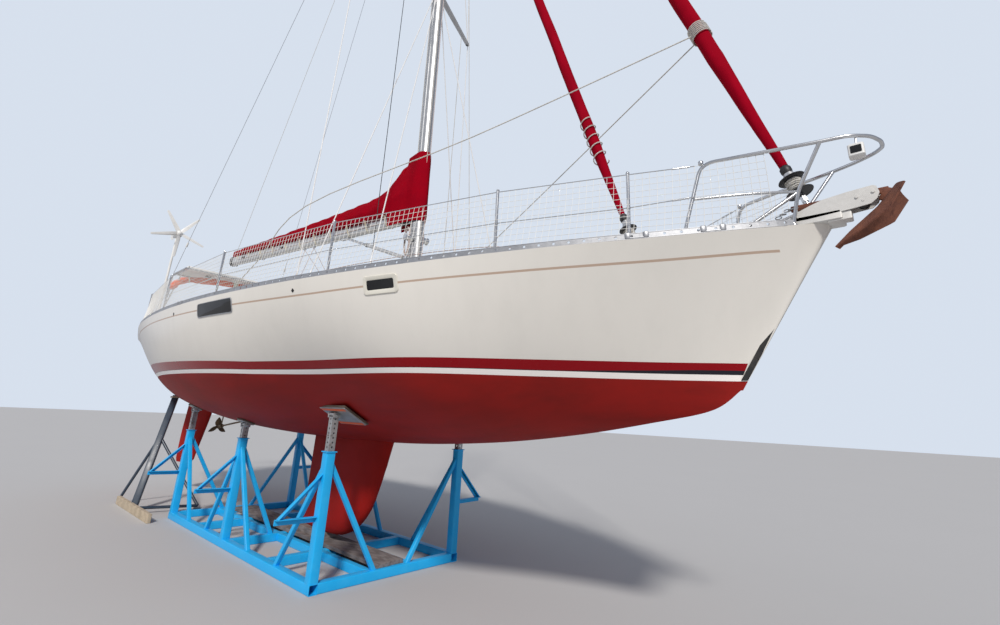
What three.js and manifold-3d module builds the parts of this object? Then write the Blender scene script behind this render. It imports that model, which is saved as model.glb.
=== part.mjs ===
// A cruising sailing yacht ashore in its steel cradle, in millimetres.
// +X is forward, +Y is to port, +Z is up; the floor is z = 0 and x = 0 is midway along the whole object.
import * as THREE from 'three';
import { mergeVertices } from 'three/addons/utils/BufferGeometryUtils.js';
import Module from 'manifold-3d';

const wasm = await Module();
wasm.setup();

// Driving dimensions

const GAP = 0.3; // between pieces that touch
const RUNNING = 6; // between pieces that move past each other

const PLATFORM_Z = 2330; // bathing platform in the stern
const STEP_Z = 2590; // step between platform and cockpit
const SEAT_Z = 2860; // cockpit seats
const SOLE_Z = 2450; // cockpit sole
const DECK_CAMBER = 45; // rise of the deck from its edge to the middle

const MAST_X = 1604; // mast's middle at the deck
const MAST_RAKE = 0.02; // lean aft for each unit of height
const MAST_LONG = 212; // mast section fore and aft
const MAST_WIDE = 150;
const MAST_FOOT_Z = 3300;
const MAST_TOP_Z = 17700;
const SPREADER_Z = [8460, 12900];
const SPREADER_HALF = [1200, 900];
const SPREADER_SWEEP = [520, 400];
const CHAINPLATE = { x: 1060, y: 1300 };

const GOOSENECK = { x: 1425, z: 4450 };
const BOOM_SWING = THREE.MathUtils.degToRad(5.5); // the boom lies a little to starboard
const BOOM_RISE = 0.026; // climb aft for each unit of length
const BOOM_LENGTH = 5250;
const BOOM_HIGH = 190;
const BOOM_WIDE = 120;

const STAYS = {
  genoa: { footX: 6210, footZ: 3250, headX: 1325, headZ: 17560, rolled: 0.965 },
  staysail: { footX: 4884, footZ: 3120, headX: 1430, headZ: 13360, rolled: 0.95 },
};

const RUDDER_STOCK_X = -5140;
const STOCK = { radius: 38, top: 2000 };
const RUDDER_REST = THREE.MathUtils.degToRad(18); // trailing edge parked to starboard
const PROP = { x: -4250, z: 1330, pitch: THREE.MathUtils.degToRad(38) };
const WHEEL = { x: -4560, z: 3330, radius: 450 };

const CRADLE = { front: 1780, aft: -2720, half: 1000, beam: 100, post: 1340, tube: 100 };
const BEAM_X = [1730, 655, -475, -1630, -2670]; // the five beams across
const POST_X = [1725, -545, -2665];
const INNER_Y = 265; // the two inner beams that carry the keel planks
const PLANK_TOP = 222; // the keel stands at this height

const ARCH = { front: -4680, aft: -5420, z: 4440, half: 1060, legX: -5480, leg: 1110 };
const TURBINE = { x: -5893, y: -1100, z: 5460, blade: 560, reach: 150, phase: 0.62 };

// Materials

const paint = (color, roughness = 0.35, metalness = 0) =>
  new THREE.MeshStandardMaterial({ color, roughness, metalness });
const WHITE_HULL = paint(0xded9d0, 0.3);
const ANTIFOUL = paint(0x7e1814, 0.7);
const DECK_WHITE = paint(0xe6e3da, 0.5);
const BLUE_STEEL = paint(0x0a78cd, 0.45, 0.2);
const GALVANISED = paint(0x9a9da0, 0.5, 0.8);
const STAINLESS = paint(0xc9cccf, 0.25, 0.9);
const ALUMINIUM = paint(0xb9bcbe, 0.4, 0.8);
const CRIMSON_CLOTH = paint(0xa50028, 0.9);
const ORANGE_CLOTH = paint(0xf0561e, 0.9);
const RUSTY = paint(0x6b3a2c, 0.9, 0.3);
const BLACK = paint(0x17181a, 0.6);
const BRONZE = paint(0x4a3a22, 0.5, 0.7);
const TIMBER = paint(0x8c8578, 0.9);
const GREY_STEEL = paint(0x5a6068, 0.6, 0.4);
const SMOKED = paint(0x16181b, 0.15);
const SOLAR = paint(0x2a2a33, 0.3);

// Shape helpers

const vec = (x, y, z) => new THREE.Vector3(x, y, z);
const add = (a, b) => a.clone().add(b);

function toSolid(geometry) {
  const bare = geometry.index ? geometry.toNonIndexed() : geometry.clone();
  bare.deleteAttribute('normal');
  bare.deleteAttribute('uv');
  const merged = mergeVertices(bare, 1e-3);
  return new wasm.Manifold(new wasm.Mesh({
    numProp: 3,
    vertProperties: new Float32Array(merged.attributes.position.array),
    triVerts: new Uint32Array(merged.index.array),
  }));
}

function toGeometry(solid) {
  const mesh = solid.getMesh();
  const geometry = new THREE.BufferGeometry();
  geometry.setAttribute('position', new THREE.BufferAttribute(new Float32Array(mesh.vertProperties), 3));
  geometry.setIndex(new THREE.BufferAttribute(new Uint32Array(mesh.triVerts), 1));
  const flat = geometry.toNonIndexed();
  flat.computeVertexNormals();
  return flat;
}

const fuse = (parts) => parts.map(toSolid).reduce((whole, next) => whole.add(next));
const cutAll = (solid, tools) => tools.map(toSolid).reduce((rest, tool) => rest.subtract(tool), solid);

// A box given by its lowest and highest corners.
function block(low, high) {
  const geometry = new THREE.BoxGeometry(high[0] - low[0], high[1] - low[1], high[2] - low[2]);
  return geometry.translate((low[0] + high[0]) / 2, (low[1] + high[1]) / 2, (low[2] + high[2]) / 2);
}

// Turns a shape made along +Z so that it runs from one point to another.
function alignTo(geometry, from, to, upHint = vec(0, 0, 1)) {
  const along = to.clone().sub(from).normalize();
  const hint = Math.abs(along.dot(upHint)) > 0.98 ? vec(1, 0, 0) : upHint;
  const side = hint.clone().cross(along).normalize();
  const top = along.clone().cross(side);
  const middle = add(from, to).multiplyScalar(0.5);
  const basis = new THREE.Matrix4().makeBasis(side, top, along).setPosition(middle);
  return geometry.applyMatrix4(basis);
}

const rod = (from, to, radius, sides = 6, topRadius = radius) => alignTo(
  new THREE.CylinderGeometry(topRadius, radius, from.distanceTo(to), sides).rotateX(Math.PI / 2), from, to);

const beam = (from, to, wide, high, upHint) => alignTo(
  new THREE.BoxGeometry(wide, high, from.distanceTo(to)), from, to, upHint);

const ball = (centre, radius, sides = 6) =>
  new THREE.SphereGeometry(radius, sides, sides / 2).translate(centre.x, centre.y, centre.z);

// A tube bent through points, with mitred corners.
function pipe(points, radius, sides = 6) {
  const ways = points.slice(1).map((point, i) => point.clone().sub(points[i]).normalize());
  const hint = Math.abs(ways[0].z) > 0.9 ? vec(1, 0, 0) : vec(0, 0, 1);
  const across = hint.cross(ways[0]).normalize();
  let spokes = Array.from({ length: sides }, (_, i) => across.clone()
    .applyAxisAngle(ways[0], (i * 2 * Math.PI) / sides).multiplyScalar(radius));
  const rings = [spokes.map((spoke) => add(points[0], spoke))];
  ways.forEach((way, i) => {
    const next = ways[Math.min(i + 1, ways.length - 1)];
    const mitre = add(way, next).normalize();
    const bent = spokes.map(
      (spoke) => spoke.clone().addScaledVector(way, -spoke.dot(mitre) / way.dot(mitre)));
    rings.push(bent.map((spoke) => add(points[i + 1], spoke)));
    spokes = bent.map((spoke) => spoke.clone().addScaledVector(next, -spoke.dot(next)));
  });
  return loft(rings);
}

const WIRE = 5; // radius of the standing rigging
const wire = (points) => pipe(points, WIRE, 5);

// A closed shell over rings of points, each ring in the same order; the ends are closed by fans.
function loft(rings) {
  const count = rings[0].length;
  const positions = [];
  const tri = (a, b, c) => positions.push(a.x, a.y, a.z, b.x, b.y, b.z, c.x, c.y, c.z);
  for (let i = 1; i < rings.length; i += 1) {
    for (let j = 0; j < count; j += 1) {
      const k = (j + 1) % count;
      tri(rings[i - 1][j], rings[i][j], rings[i][k]);
      tri(rings[i - 1][j], rings[i][k], rings[i - 1][k]);
    }
  }
  for (const [ring, flip] of [[rings[0], true], [rings[rings.length - 1], false]]) {
    const middle = ring.reduce((sum, p) => sum.add(p), vec(0, 0, 0)).divideScalar(count);
    for (let j = 0; j < count; j += 1) {
      const k = (j + 1) % count;
      if (flip) {
        tri(middle, ring[j], ring[k]);
      } else {
        tri(middle, ring[k], ring[j]);
      }
    }
  }
  const geometry = new THREE.BufferGeometry();
  geometry.setAttribute('position', new THREE.Float32BufferAttribute(positions, 3));
  if (signedVolume(positions) < 0) {
    for (let i = 0; i < positions.length; i += 9) {
      for (let j = 0; j < 3; j += 1) {
        const keep = positions[i + 3 + j];
        positions[i + 3 + j] = positions[i + 6 + j];
        positions[i + 6 + j] = keep;
      }
    }
    geometry.setAttribute('position', new THREE.Float32BufferAttribute(positions, 3));
  }
  return geometry;
}

function signedVolume(p) {
  let volume = 0;
  for (let i = 0; i < p.length; i += 9) {
    volume += p[i] * (p[i + 4] * p[i + 8] - p[i + 5] * p[i + 7])
      - p[i + 1] * (p[i + 3] * p[i + 8] - p[i + 5] * p[i + 6])
      + p[i + 2] * (p[i + 3] * p[i + 7] - p[i + 4] * p[i + 6]);
  }
  return volume;
}

// A smooth value between the rows of a table, by position along it.
function smooth(rows, column, at) {
  const i = Math.min(rows.length - 2, Math.floor(at));
  const t = at - i;
  const pick = (k) => rows[Math.max(0, Math.min(rows.length - 1, k))][column];
  const [a, b, c, d] = [pick(i - 1), pick(i), pick(i + 1), pick(i + 2)];
  return b + 0.5 * t * (c - a + t * (2 * a - 5 * b + 4 * c - d + t * (3 * (b - c) + d - a)));
}

// Hull: each row is a section, from the stem to the stern.
// sheer is the deck's edge, keel the middle of the bottom, low and high the handles of the curve between.
const SECTION_KEYS = ['sheerX', 'sheerY', 'sheerZ', 'keelX', 'keelZ', 'lowY', 'lowZ', 'highY', 'highZ'];
const SECTIONS = [
  [6290, 55, 3170, 5610, 2040, 14, 2420, 30, 2800],
  [5950, 330, 3125, 5400, 1895, 50, 2060, 150, 2560],
  [5350, 680, 3075, 4950, 1790, 170, 1850, 390, 2430],
  [4400, 1150, 3020, 4200, 1650, 420, 1720, 880, 2230],
  [3300, 1550, 2980, 3200, 1520, 795, 1575, 1375, 2015],
  [1900, 1880, 2955, 1880, 1425, 725, 1540, 1680, 2105],
  [300, 2080, 2945, 300, 1395, 1170, 1460, 1950, 1945],
  [-1300, 2100, 2950, -1300, 1430, 1280, 1495, 1925, 1980],
  [-2900, 1955, 2960, -2900, 1535, 1160, 1595, 1685, 2120],
  [-4400, 1660, 2975, -4450, 1665, 1000, 1745, 1310, 2295],
  [-5500, 1420, 2990, -5750, 1890, 830, 1970, 1010, 2480],
  [-6050, 1290, 3000, -6640, 2135, 710, 2215, 840, 2700],
].map((row) => Object.fromEntries(row.map((value, i) => [SECTION_KEYS[i], value])));
const STATION_STEPS = 3; // sections drawn between one row and the next
const SIDE_POINTS = 11; // points from the keel to the sheer

const stationCount = (SECTIONS.length - 1) * STATION_STEPS + 1;
const station = (i) => Object.fromEntries(
  SECTION_KEYS.map((key) => [key, smooth(SECTIONS, key, i / STATION_STEPS)]));

// Where along the table the deck's edge has a given x.
function sectionAt(x) {
  let low = 0;
  let high = SECTIONS.length - 1;
  for (let i = 0; i < 40; i += 1) {
    const middle = (low + high) / 2;
    if (smooth(SECTIONS, 'sheerX', middle) > x) {
      low = middle;
    } else {
      high = middle;
    }
  }
  return low;
}
const sheerY = (x) => smooth(SECTIONS, 'sheerY', sectionAt(x));
const sheerZ = (x) => smooth(SECTIONS, 'sheerZ', sectionAt(x));
const deckZ = (x, y) => sheerZ(x) + DECK_CAMBER * (1 - Math.min(1, Math.abs(y) / sheerY(x)));

function hullRing(i) {
  const s = station(i);
  const side = [];
  for (let j = 0; j <= SIDE_POINTS; j += 1) {
    const t = j / SIDE_POINTS;
    const u = 1 - t;
    const y = 3 * u * t * t * s.highY + 3 * u * u * t * s.lowY + t ** 3 * s.sheerY;
    const z = u ** 3 * s.keelZ + 3 * u * u * t * s.lowZ + 3 * u * t * t * s.highZ + t ** 3 * s.sheerZ;
    side.push([y, z]);
  }
  const alongX = (z) => s.keelX + (s.sheerX - s.keelX) * (z - s.keelZ) / (s.sheerZ - s.keelZ);
  const point = (y, z) => vec(alongX(z), y, z);
  const port = side.slice(1).map(([y, z]) => point(y, z));
  const starboard = side.slice(1).reverse().map(([y, z]) => point(-y, z));
  return [point(0, s.keelZ), ...port, point(0, s.sheerZ + DECK_CAMBER), ...starboard];
}

const hullShell = toSolid(loft(Array.from({ length: stationCount }, (_, i) => hullRing(i))));
const overDeck = hullShell.translate(0, 0, GAP).add(hullShell).add(hullShell.translate(1, 0, 0));
const underHull = hullShell.translate(0, 0, -GAP).add(hullShell);

// What is let into the deck: a lid lies in each recess
const WELL = { aft: -5300, front: -2450, half: 420 };
const SEATS = { aft: -5450, front: -2450, half: 1150 };
const SCOOP = { aft: -6900, riser: -6160, front: -5850, platform: 500, step: 460, gate: 300 };
const OVER = 3400; // higher than anything that is cut out of the deck
const LOCKER = { aft: -3850, front: -2750, inner: 500, outer: 1060, floor: 2470, lid: 34 };
const ANCHOR_LOCKER = { aft: 5180, front: 5620, half: 240, floor: 2850, lid: 28 };

const hullCuts = [
  block([WELL.aft, -WELL.half, SOLE_Z], [WELL.front, WELL.half, OVER]),
  block([SEATS.aft, -SEATS.half, SEAT_Z], [SEATS.front, SEATS.half, OVER]),
  block([SCOOP.front - 50, -SCOOP.gate, SEAT_Z], [SEATS.aft + 1, SCOOP.gate, OVER]),
  block([SCOOP.aft, -SCOOP.platform, PLATFORM_Z], [SCOOP.riser, SCOOP.platform, OVER]),
  block([SCOOP.riser - 1, -SCOOP.step, STEP_Z], [SCOOP.front, SCOOP.step, OVER]),
  block([ANCHOR_LOCKER.aft, -ANCHOR_LOCKER.half, ANCHOR_LOCKER.floor],
    [ANCHOR_LOCKER.front, ANCHOR_LOCKER.half, OVER]),
  rod(vec(RUDDER_STOCK_X, 0, 1500), vec(RUDDER_STOCK_X, 0, STOCK.top + GAP), STOCK.radius + 3, 24),
];
for (const side of [-1, 1]) {
  const y = [side * LOCKER.inner, side * LOCKER.outer].sort((a, b) => a - b);
  hullCuts.push(block([LOCKER.aft, y[0], LOCKER.floor], [LOCKER.front, y[1], OVER]));
}

const yacht = new THREE.Group();
function place(name, solid, material, group = yacht) {
  const mesh = new THREE.Mesh(toGeometry(solid), material);
  mesh.name = name;
  group.add(mesh);
  return mesh;
}

place('hull', cutAll(hullShell, hullCuts), WHITE_HULL);

// Keel: a swept fin, its top trimmed to the hull
const KEEL_LEVELS = [
  { z: 1600, lead: 1590, trail: -330, half: 130 },
  { z: 1130, lead: 1455, trail: -343, half: 124 },
  { z: 720, lead: 1295, trail: -350, half: 126 },
  { z: 500, lead: 1145, trail: -353, half: 128 },
  { z: 340, lead: 955, trail: -354, half: 112 },
  { z: 265, lead: 800, trail: -350, half: 92 },
  { z: PLANK_TOP + GAP, lead: 640, trail: -340, half: 70 },
];
// A foil's half outline: share of the chord, share of the half width
const FOIL = [[0, 0], [0.04, 0.5], [0.16, 0.88], [0.38, 1], [0.7, 0.62], [1, 0.05]];
const foilRing = ({ z, lead, trail, half }) => [
  ...FOIL.map(([c, h]) => vec(lead + (trail - lead) * c, half * h, z)),
  ...FOIL.slice(1).reverse().map(([c, h]) => vec(lead + (trail - lead) * c, -half * h, z)),
];
place('keel', toSolid(loft(KEEL_LEVELS.map(foilRing))).subtract(underHull), ANTIFOUL);

// Rudder: turned about its upright stock, which runs up into the hull
const rudder = new THREE.Group();
rudder.position.set(RUDDER_STOCK_X, 0, 0);
rudder.rotation.z = RUDDER_REST;
yacht.add(rudder);
const RUDDER_LEVELS = [
  { z: 1800, lead: 262, trail: -548, half: 66 },
  { z: 1180, lead: 110, trail: -600, half: 50 },
  { z: 640, lead: -40, trail: -600, half: 36 },
  { z: 560, lead: -110, trail: -570, half: 20 },
];
const RUDDER_CLEAR = 14; // between the blade's top and the hull
const RUDDER_ANGLES = [-18, 17, -53]; // amidships and at both ends of its turn, seen from where it is parked
const rudderRoom = hullShell.translate(-RUDDER_STOCK_X, 0, -RUDDER_CLEAR);
const rudderStock = rod(vec(0, 0, 1300), vec(0, 0, STOCK.top), STOCK.radius, 24);
const blade = RUDDER_ANGLES.reduce((rest, angle) => rest.subtract(rudderRoom.rotate(0, 0, angle)),
  toSolid(loft(RUDDER_LEVELS.map(foilRing))));
place('rudder_blade', blade.add(toSolid(rudderStock)), ANTIFOUL, rudder);

// Shaft, strut and propeller
const shaftHead = vec(-2600, 0, 1546);
const shaftTail = vec(PROP.x + 71, 0, PROP.z + 9);
place('shaft_and_strut', fuse([
  rod(shaftHead, shaftTail, 16, 10),
  rod(vec(PROP.x + 90, 0, PROP.z + 11), vec(PROP.x + 230, 0, PROP.z + 30), 34, 12),
  beam(vec(PROP.x + 160, 0, PROP.z + 20), vec(PROP.x + 200, 0, 1700), 18, 70, vec(1, 0, 0)),
]).subtract(underHull), BRONZE);

const propeller = new THREE.Group();
propeller.position.set(PROP.x, 0, PROP.z);
yacht.add(propeller);
const propParts = [rod(vec(-70, 0, 0), vec(68, 0, 0), 36, 14, 30)];
for (let i = 0; i < 3; i += 1) {
  const outline = new THREE.Shape();
  outline.absellipse(0, 106, 60, 82, 0, Math.PI * 2);
  const leaf = new THREE.ExtrudeGeometry(outline, { depth: 9, bevelEnabled: false, curveSegments: 6 });
  leaf.translate(0, 0, -4.5).rotateX(Math.PI / 2).rotateZ(Math.PI / 2 + PROP.pitch);
  propParts.push(leaf.rotateX((i * 2 * Math.PI) / 3));
}
place('propeller_three_blade', fuse(propParts), BRONZE, propeller);

// Toe rails: a low wall of pierced section along each edge of the deck
const RAIL = { front: 6080, aft: -5980, high: 48, wide: 26, inset: 6 };
for (const [name, side] of [['toe_rail_starboard', -1], ['toe_rail_port', 1]]) {
  const inside = Array.from({ length: stationCount }, (_, i) => station(i).sheerX)
    .filter((x) => x < RAIL.front - 20 && x > RAIL.aft + 20);
  const rings = [RAIL.front, ...inside, RAIL.aft].map((x) => {
    const edge = side * (sheerY(x) - RAIL.inset);
    const inner = edge - side * RAIL.wide;
    const low = sheerZ(x) - 3;
    const high = sheerZ(x) + RAIL.high;
    return [vec(x, edge, low), vec(x, edge, high), vec(x, inner, high), vec(x, inner, low)];
  });
  place(name, toSolid(loft(rings)).subtract(overDeck), ALUMINIUM);
}

// Coachroof: a low house with sloping sides, down to the deck at its front
const ROOF_AFT = -2440;
const ROOF = [
  { x: 3450, half: 420, top: 12, lean: 10 },
  { x: 2900, half: 700, top: 150, lean: 60 },
  { x: 2000, half: 960, top: 265, lean: 100 },
  { x: 700, half: 1140, top: 345, lean: 130 },
  { x: -900, half: 1230, top: 410, lean: 150 },
  { x: ROOF_AFT, half: 1230, top: 455, lean: 150 },
];
const roofRing = ({ x, half, top, lean }) => {
  const edge = deckZ(x, half) - 60;
  const crown = sheerZ(x) + DECK_CAMBER + top;
  return [
    vec(x, -half, edge), vec(x, half, edge),
    vec(x, half - lean, crown - 45), vec(x, half - lean - 90, crown - 12), vec(x, 0, crown + 20),
    vec(x, -(half - lean - 90), crown - 12), vec(x, -(half - lean), crown - 45),
  ];
};
const roofTop = (along, y = 0) => {
  const x = Math.max(along, ROOF_AFT);
  const i = Math.max(1, ROOF.findIndex((row) => row.x <= x));
  const [fore, aft] = [ROOF[i - 1], ROOF[i]];
  const t = (fore.x - x) / (fore.x - aft.x);
  const middle = (row) => sheerZ(row.x) + row.top;
  const half = fore.half + t * (aft.half - fore.half);
  const crown = middle(fore) + t * (middle(aft) - middle(fore)) + DECK_CAMBER + 20;
  return crown - 32 * Math.min(1, Math.abs(y) / (half - 220));
};
const COMPANION = { aft: -2441, front: -1750, half: 330 };
const SALOON_HATCH = { aft: 120, front: 660, half: 270 };
const roofShell = toSolid(loft(ROOF.map(roofRing)));
const doorway = block([ROOF_AFT - 160, -COMPANION.half, 2900], [COMPANION.front, COMPANION.half, 3600]);
// Companionway: boards in the doorway and a hatch that slides forward on rails over the roof
const SLIDE = { aft: -2450, front: -1700, half: 380, thick: 40, travel: 620, ledge: 30, rail: 45 };
const slideZ = roofTop(SLIDE.aft) + 8;
const railFront = SLIDE.front + SLIDE.travel + 60;
const slideRails = [-1, 1].flatMap((side) => {
  const across = (a, b) => [side * a, side * b].sort((m, n) => m - n);
  const ledge = across(SLIDE.half - SLIDE.ledge, SLIDE.half + SLIDE.rail);
  const wall = across(SLIDE.half + RUNNING, SLIDE.half + SLIDE.rail);
  return [
    block([ROOF_AFT, ledge[0], 3250], [railFront, ledge[1], slideZ - GAP]),
    block([ROOF_AFT, wall[0], 3250], [railFront, wall[1], slideZ + SLIDE.thick + 12]),
  ];
});
place('coachroof', cutAll(roofShell, [doorway]).add(fuse(slideRails)).subtract(overDeck), DECK_WHITE);
place('companionway_boards', toSolid(block([-2436, -COMPANION.half + GAP, sheerZ(-2436) + DECK_CAMBER - 20],
  [-2406, COMPANION.half - GAP, slideZ - 14])).subtract(overDeck), SMOKED);
place('companionway_slide', toSolid(block([SLIDE.aft, -SLIDE.half, slideZ],
  [SLIDE.front, SLIDE.half, slideZ + SLIDE.thick])), DECK_WHITE);

// Coamings round the cockpit with the sheet winches on them
const COAMING = [
  { x: -2452, inner: 1190, outer: 1400, top: 300 },
  { x: -3600, inner: 1190, outer: 1390, top: 270 },
  { x: -4800, inner: 1170, outer: 1360, top: 235 },
  { x: -5440, inner: 1160, outer: 1300, top: 120 },
];
const WINCHES = [{ x: -3900, y: 1285, base: 250, radius: 90, high: 190 },
  { x: -3100, y: 1290, base: 285, radius: 72, high: 160 }];
let coamings = toSolid(ball(vec(0, 0, 2500), 1));
for (const [name, side] of [['coaming_starboard', -1], ['coaming_port', 1]]) {
  const rings = COAMING.map(({ x, inner, outer, top }) => [
    vec(x, side * inner, 2900), vec(x, side * (inner + 25), sheerZ(x) + top),
    vec(x, side * (outer - 60), sheerZ(x) + top), vec(x, side * outer, 2900)]);
  const drums = WINCHES.map(({ x, y, base, radius, high }) => {
    const foot = vec(x, side * y, sheerZ(x) + base - 20);
    return rod(foot, vec(x, side * y, foot.z + high), radius, 16, radius * 0.8);
  });
  const coaming = fuse([loft(rings), ...drums]).subtract(overDeck);
  coamings = coamings.add(coaming.translate(0, 0, GAP));
  place(name, coaming, DECK_WHITE);
}

// Steering pedestal and wheel
place('steering_pedestal', fuse([
  block([-4480, -110, SOLE_Z + GAP], [-4260, 110, SOLE_Z + 780]),
  rod(vec(WHEEL.x + 30 + RUNNING, 0, WHEEL.z), vec(-4300, 0, WHEEL.z), 45, 12),
  rod(vec(WHEEL.x + 30 + GAP, 0, WHEEL.z), vec(-4300, 0, WHEEL.z), 20, 10),
  block([-4460, -90, SOLE_Z + 770], [-4280, 90, WHEEL.z + 60]),
  pipe([vec(-4240, -170, SOLE_Z + GAP), vec(-4240, -170, 3420), vec(-4240, 170, 3420),
    vec(-4240, 170, SOLE_Z + GAP)], 14),
  beam(vec(-4240, -170, 3330), vec(-4240, 170, 3330), 24, 24),
  beam(vec(-4245, 0, 3330), vec(-4330, 0, 3330), 24, 24),
]), STAINLESS);
const wheel = new THREE.Group();
wheel.position.set(WHEEL.x, 0, WHEEL.z);
yacht.add(wheel);
const wheelParts = [
  new THREE.TorusGeometry(WHEEL.radius, 14, 6, 30).rotateY(Math.PI / 2),
  rod(vec(-30, 0, 0), vec(30, 0, 0), 46, 14),
];
for (let i = 0; i < 5; i += 1) {
  const angle = (i * 2 * Math.PI) / 5;
  const rim = vec(0, Math.sin(angle), Math.cos(angle)).multiplyScalar(WHEEL.radius);
  wheelParts.push(rod(vec(0, 0, 0), rim, 9, 6));
}
place('steering_wheel', fuse(wheelParts), STAINLESS, wheel);

// Lids: sheet lockers under the seats, the foredeck and saloon hatches and the anchor locker
for (const [name, side] of [['locker_lid_starboard', -1], ['locker_lid_port', 1]]) {
  const y = [side * (LOCKER.inner - 22), side * (LOCKER.outer + 22)].sort((a, b) => a - b);
  place(name, toSolid(block([LOCKER.aft - 25, y[0], SEAT_Z + GAP],
    [LOCKER.front + 25, y[1], SEAT_Z + LOCKER.lid])), DECK_WHITE);
}
const anchorLid = [ANCHOR_LOCKER.aft - 30, ANCHOR_LOCKER.front + 10].map((x) => {
  const half = ANCHOR_LOCKER.half + 30;
  const top = (y) => vec(x, y, deckZ(x, y) + ANCHOR_LOCKER.lid);
  const low = deckZ(x, half) - 20;
  return [vec(x, -half, low), vec(x, half, low), top(half), top(0), top(-half)];
});
place('anchor_locker_lid', toSolid(loft(anchorLid)).subtract(overDeck), DECK_WHITE);
const FORE_HATCH = { aft: 3620, front: 4200, half: 290 };
const foreHatchZ = deckZ(3900, 0) + 4;
place('fore_hatch_frame', toSolid(block([FORE_HATCH.aft, -FORE_HATCH.half, foreHatchZ - 60],
  [FORE_HATCH.front, FORE_HATCH.half, foreHatchZ + 30])).subtract(overDeck), ALUMINIUM);
place('fore_hatch_lid', toSolid(block([FORE_HATCH.aft, -FORE_HATCH.half, foreHatchZ + 30 + GAP],
  [FORE_HATCH.front, FORE_HATCH.half, foreHatchZ + 55])), SMOKED);
const saloonZ = roofTop(SALOON_HATCH.aft - 30) + GAP;
place('saloon_hatch_lid', toSolid(block([SALOON_HATCH.aft - 30, -SALOON_HATCH.half - 30, saloonZ],
  [SALOON_HATCH.front + 30, SALOON_HATCH.half + 30, saloonZ + 30])), SMOKED);

// Mast: an oval tube that leans a little aft, with two pairs of swept spreaders
const mastX = (z) => MAST_X - MAST_RAKE * (z - MAST_FOOT_Z);
const oval = (x, z, long, wide, sides = 12) => Array.from({ length: sides }, (_, i) => {
  const angle = ((i + 0.5) * 2 * Math.PI) / sides;
  return vec(x + (long / 2) * Math.cos(angle), (wide / 2) * Math.sin(angle), z);
});
const mastFoot = roofTop(MAST_X - MAST_LONG / 2) + 12;
const mastTube = (grow) => toSolid(loft([mastFoot, MAST_TOP_Z - 1800, MAST_TOP_Z].map((z, i) => oval(
  mastX(z), z, (MAST_LONG + 2 * grow) * [1, 1, 0.8][i], (MAST_WIDE + 2 * grow) * [1, 1, 0.85][i]))));
const spreaderTip = (level, side) => vec(
  mastX(SPREADER_Z[level]) - SPREADER_SWEEP[level], side * SPREADER_HALF[level], SPREADER_Z[level] + 40);
const spreader = (level, side) => beam(vec(mastX(SPREADER_Z[level]) - 20, side * 20, SPREADER_Z[level]),
  spreaderTip(level, side), 95 - 20 * level, 26);
const spreaders = [-1, 1].flatMap((side) => [spreader(0, side), spreader(1, side)]);

// A hinge on the back of the mast: a lug above and a lug below an upright pin
const HINGE = { lug: 24, wide: 26, pin: 16, boom: 60, vang: 32 };
const VANG_Z = GOOSENECK.z - 620;
const hingeLugs = (z, half) => [-1, 1].map((way) => {
  const edges = [z + way * (half + GAP), z + way * (half + GAP + HINGE.lug)].sort((a, b) => a - b);
  return block([GOOSENECK.x - HINGE.wide, -HINGE.wide, edges[0]], [mastX(z) - 40, HINGE.wide, edges[1]]);
});

// Shrouds: a cap shroud over both spreader tips, and lowers to the mast
const chainplateFoot = (x, side) => vec(x, side * CHAINPLATE.y, deckZ(x, CHAINPLATE.y) + 60);
const mastInside = (z, side) => vec(mastX(z), side * 30, z);
const capShroud = (side) => [chainplateFoot(CHAINPLATE.x - 60, side),
  ...[0, 1].map((level) => add(spreaderTip(level, side), vec(0, side * -12, 0))),
  mastInside(MAST_TOP_Z - 260, side)];
const wires = (side) => [
  capShroud(side),
  [chainplateFoot(CHAINPLATE.x + 120, side), mastInside(SPREADER_Z[0] - 160, side)],
  [capShroud(side)[1], mastInside(SPREADER_Z[1] - 160, side)],
];
const wireRoom = (points) => pipe([...points.slice(0, -1), points.at(-2).clone().lerp(points.at(-1), 0.5)],
  WIRE + GAP, 5);
const STEP_PLATE = { front: MAST_X + 160, aft: MAST_X - 160, half: 110 };
const stayHeads = Object.values(STAYS).map(({ footX, footZ, headX, headZ, rolled }) => {
  const foot = vec(footX, 0, footZ);
  const head = vec(headX, 0, headZ);
  return rod(foot.clone().lerp(head, rolled).add(vec(0, 0, GAP)), head, WIRE, 6);
});
place('mast', cutAll(mastTube(0).add(fuse([
  ...spreaders,
  ...stayHeads,
  ...hingeLugs(GOOSENECK.z, HINGE.boom),
  ...hingeLugs(VANG_Z, HINGE.vang),
  block([STEP_PLATE.aft, -STEP_PLATE.half, roofTop(STEP_PLATE.front) - 60],
    [STEP_PLATE.front, STEP_PLATE.half, mastFoot + 1]),
  block([mastX(MAST_TOP_Z) - 190, -45, MAST_TOP_Z - 60], [mastX(MAST_TOP_Z) + 130, 45, MAST_TOP_Z + 30]),
  rod(vec(mastX(MAST_TOP_Z) - 60, 30, MAST_TOP_Z), vec(mastX(MAST_TOP_Z) - 60, 30, MAST_TOP_Z + 480), 6, 6),
])).subtract(roofShell.translate(0, 0, GAP)),
[...wires(-1), ...wires(1)].map(wireRoom)), ALUMINIUM);
const mastRoom = mastTube(GAP);
for (const [name, side] of [['shrouds_starboard', -1], ['shrouds_port', 1]]) {
  const plate = chainplateFoot(CHAINPLATE.x, side);
  place(name, fuse([
    block([plate.x - 130, plate.y - 18, plate.z - 90], [plate.x + 150, plate.y + 18, plate.z]),
    ...wires(side).map(wire),
  ]).subtract(overDeck).subtract(mastRoom), STAINLESS);
}
const BACKSTAY = { x: -5984, y: 1246, z: 3012, toggle: 12, head: MAST_TOP_Z - 60 };
const craneBack = mastX(MAST_TOP_Z) - 190;
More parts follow.
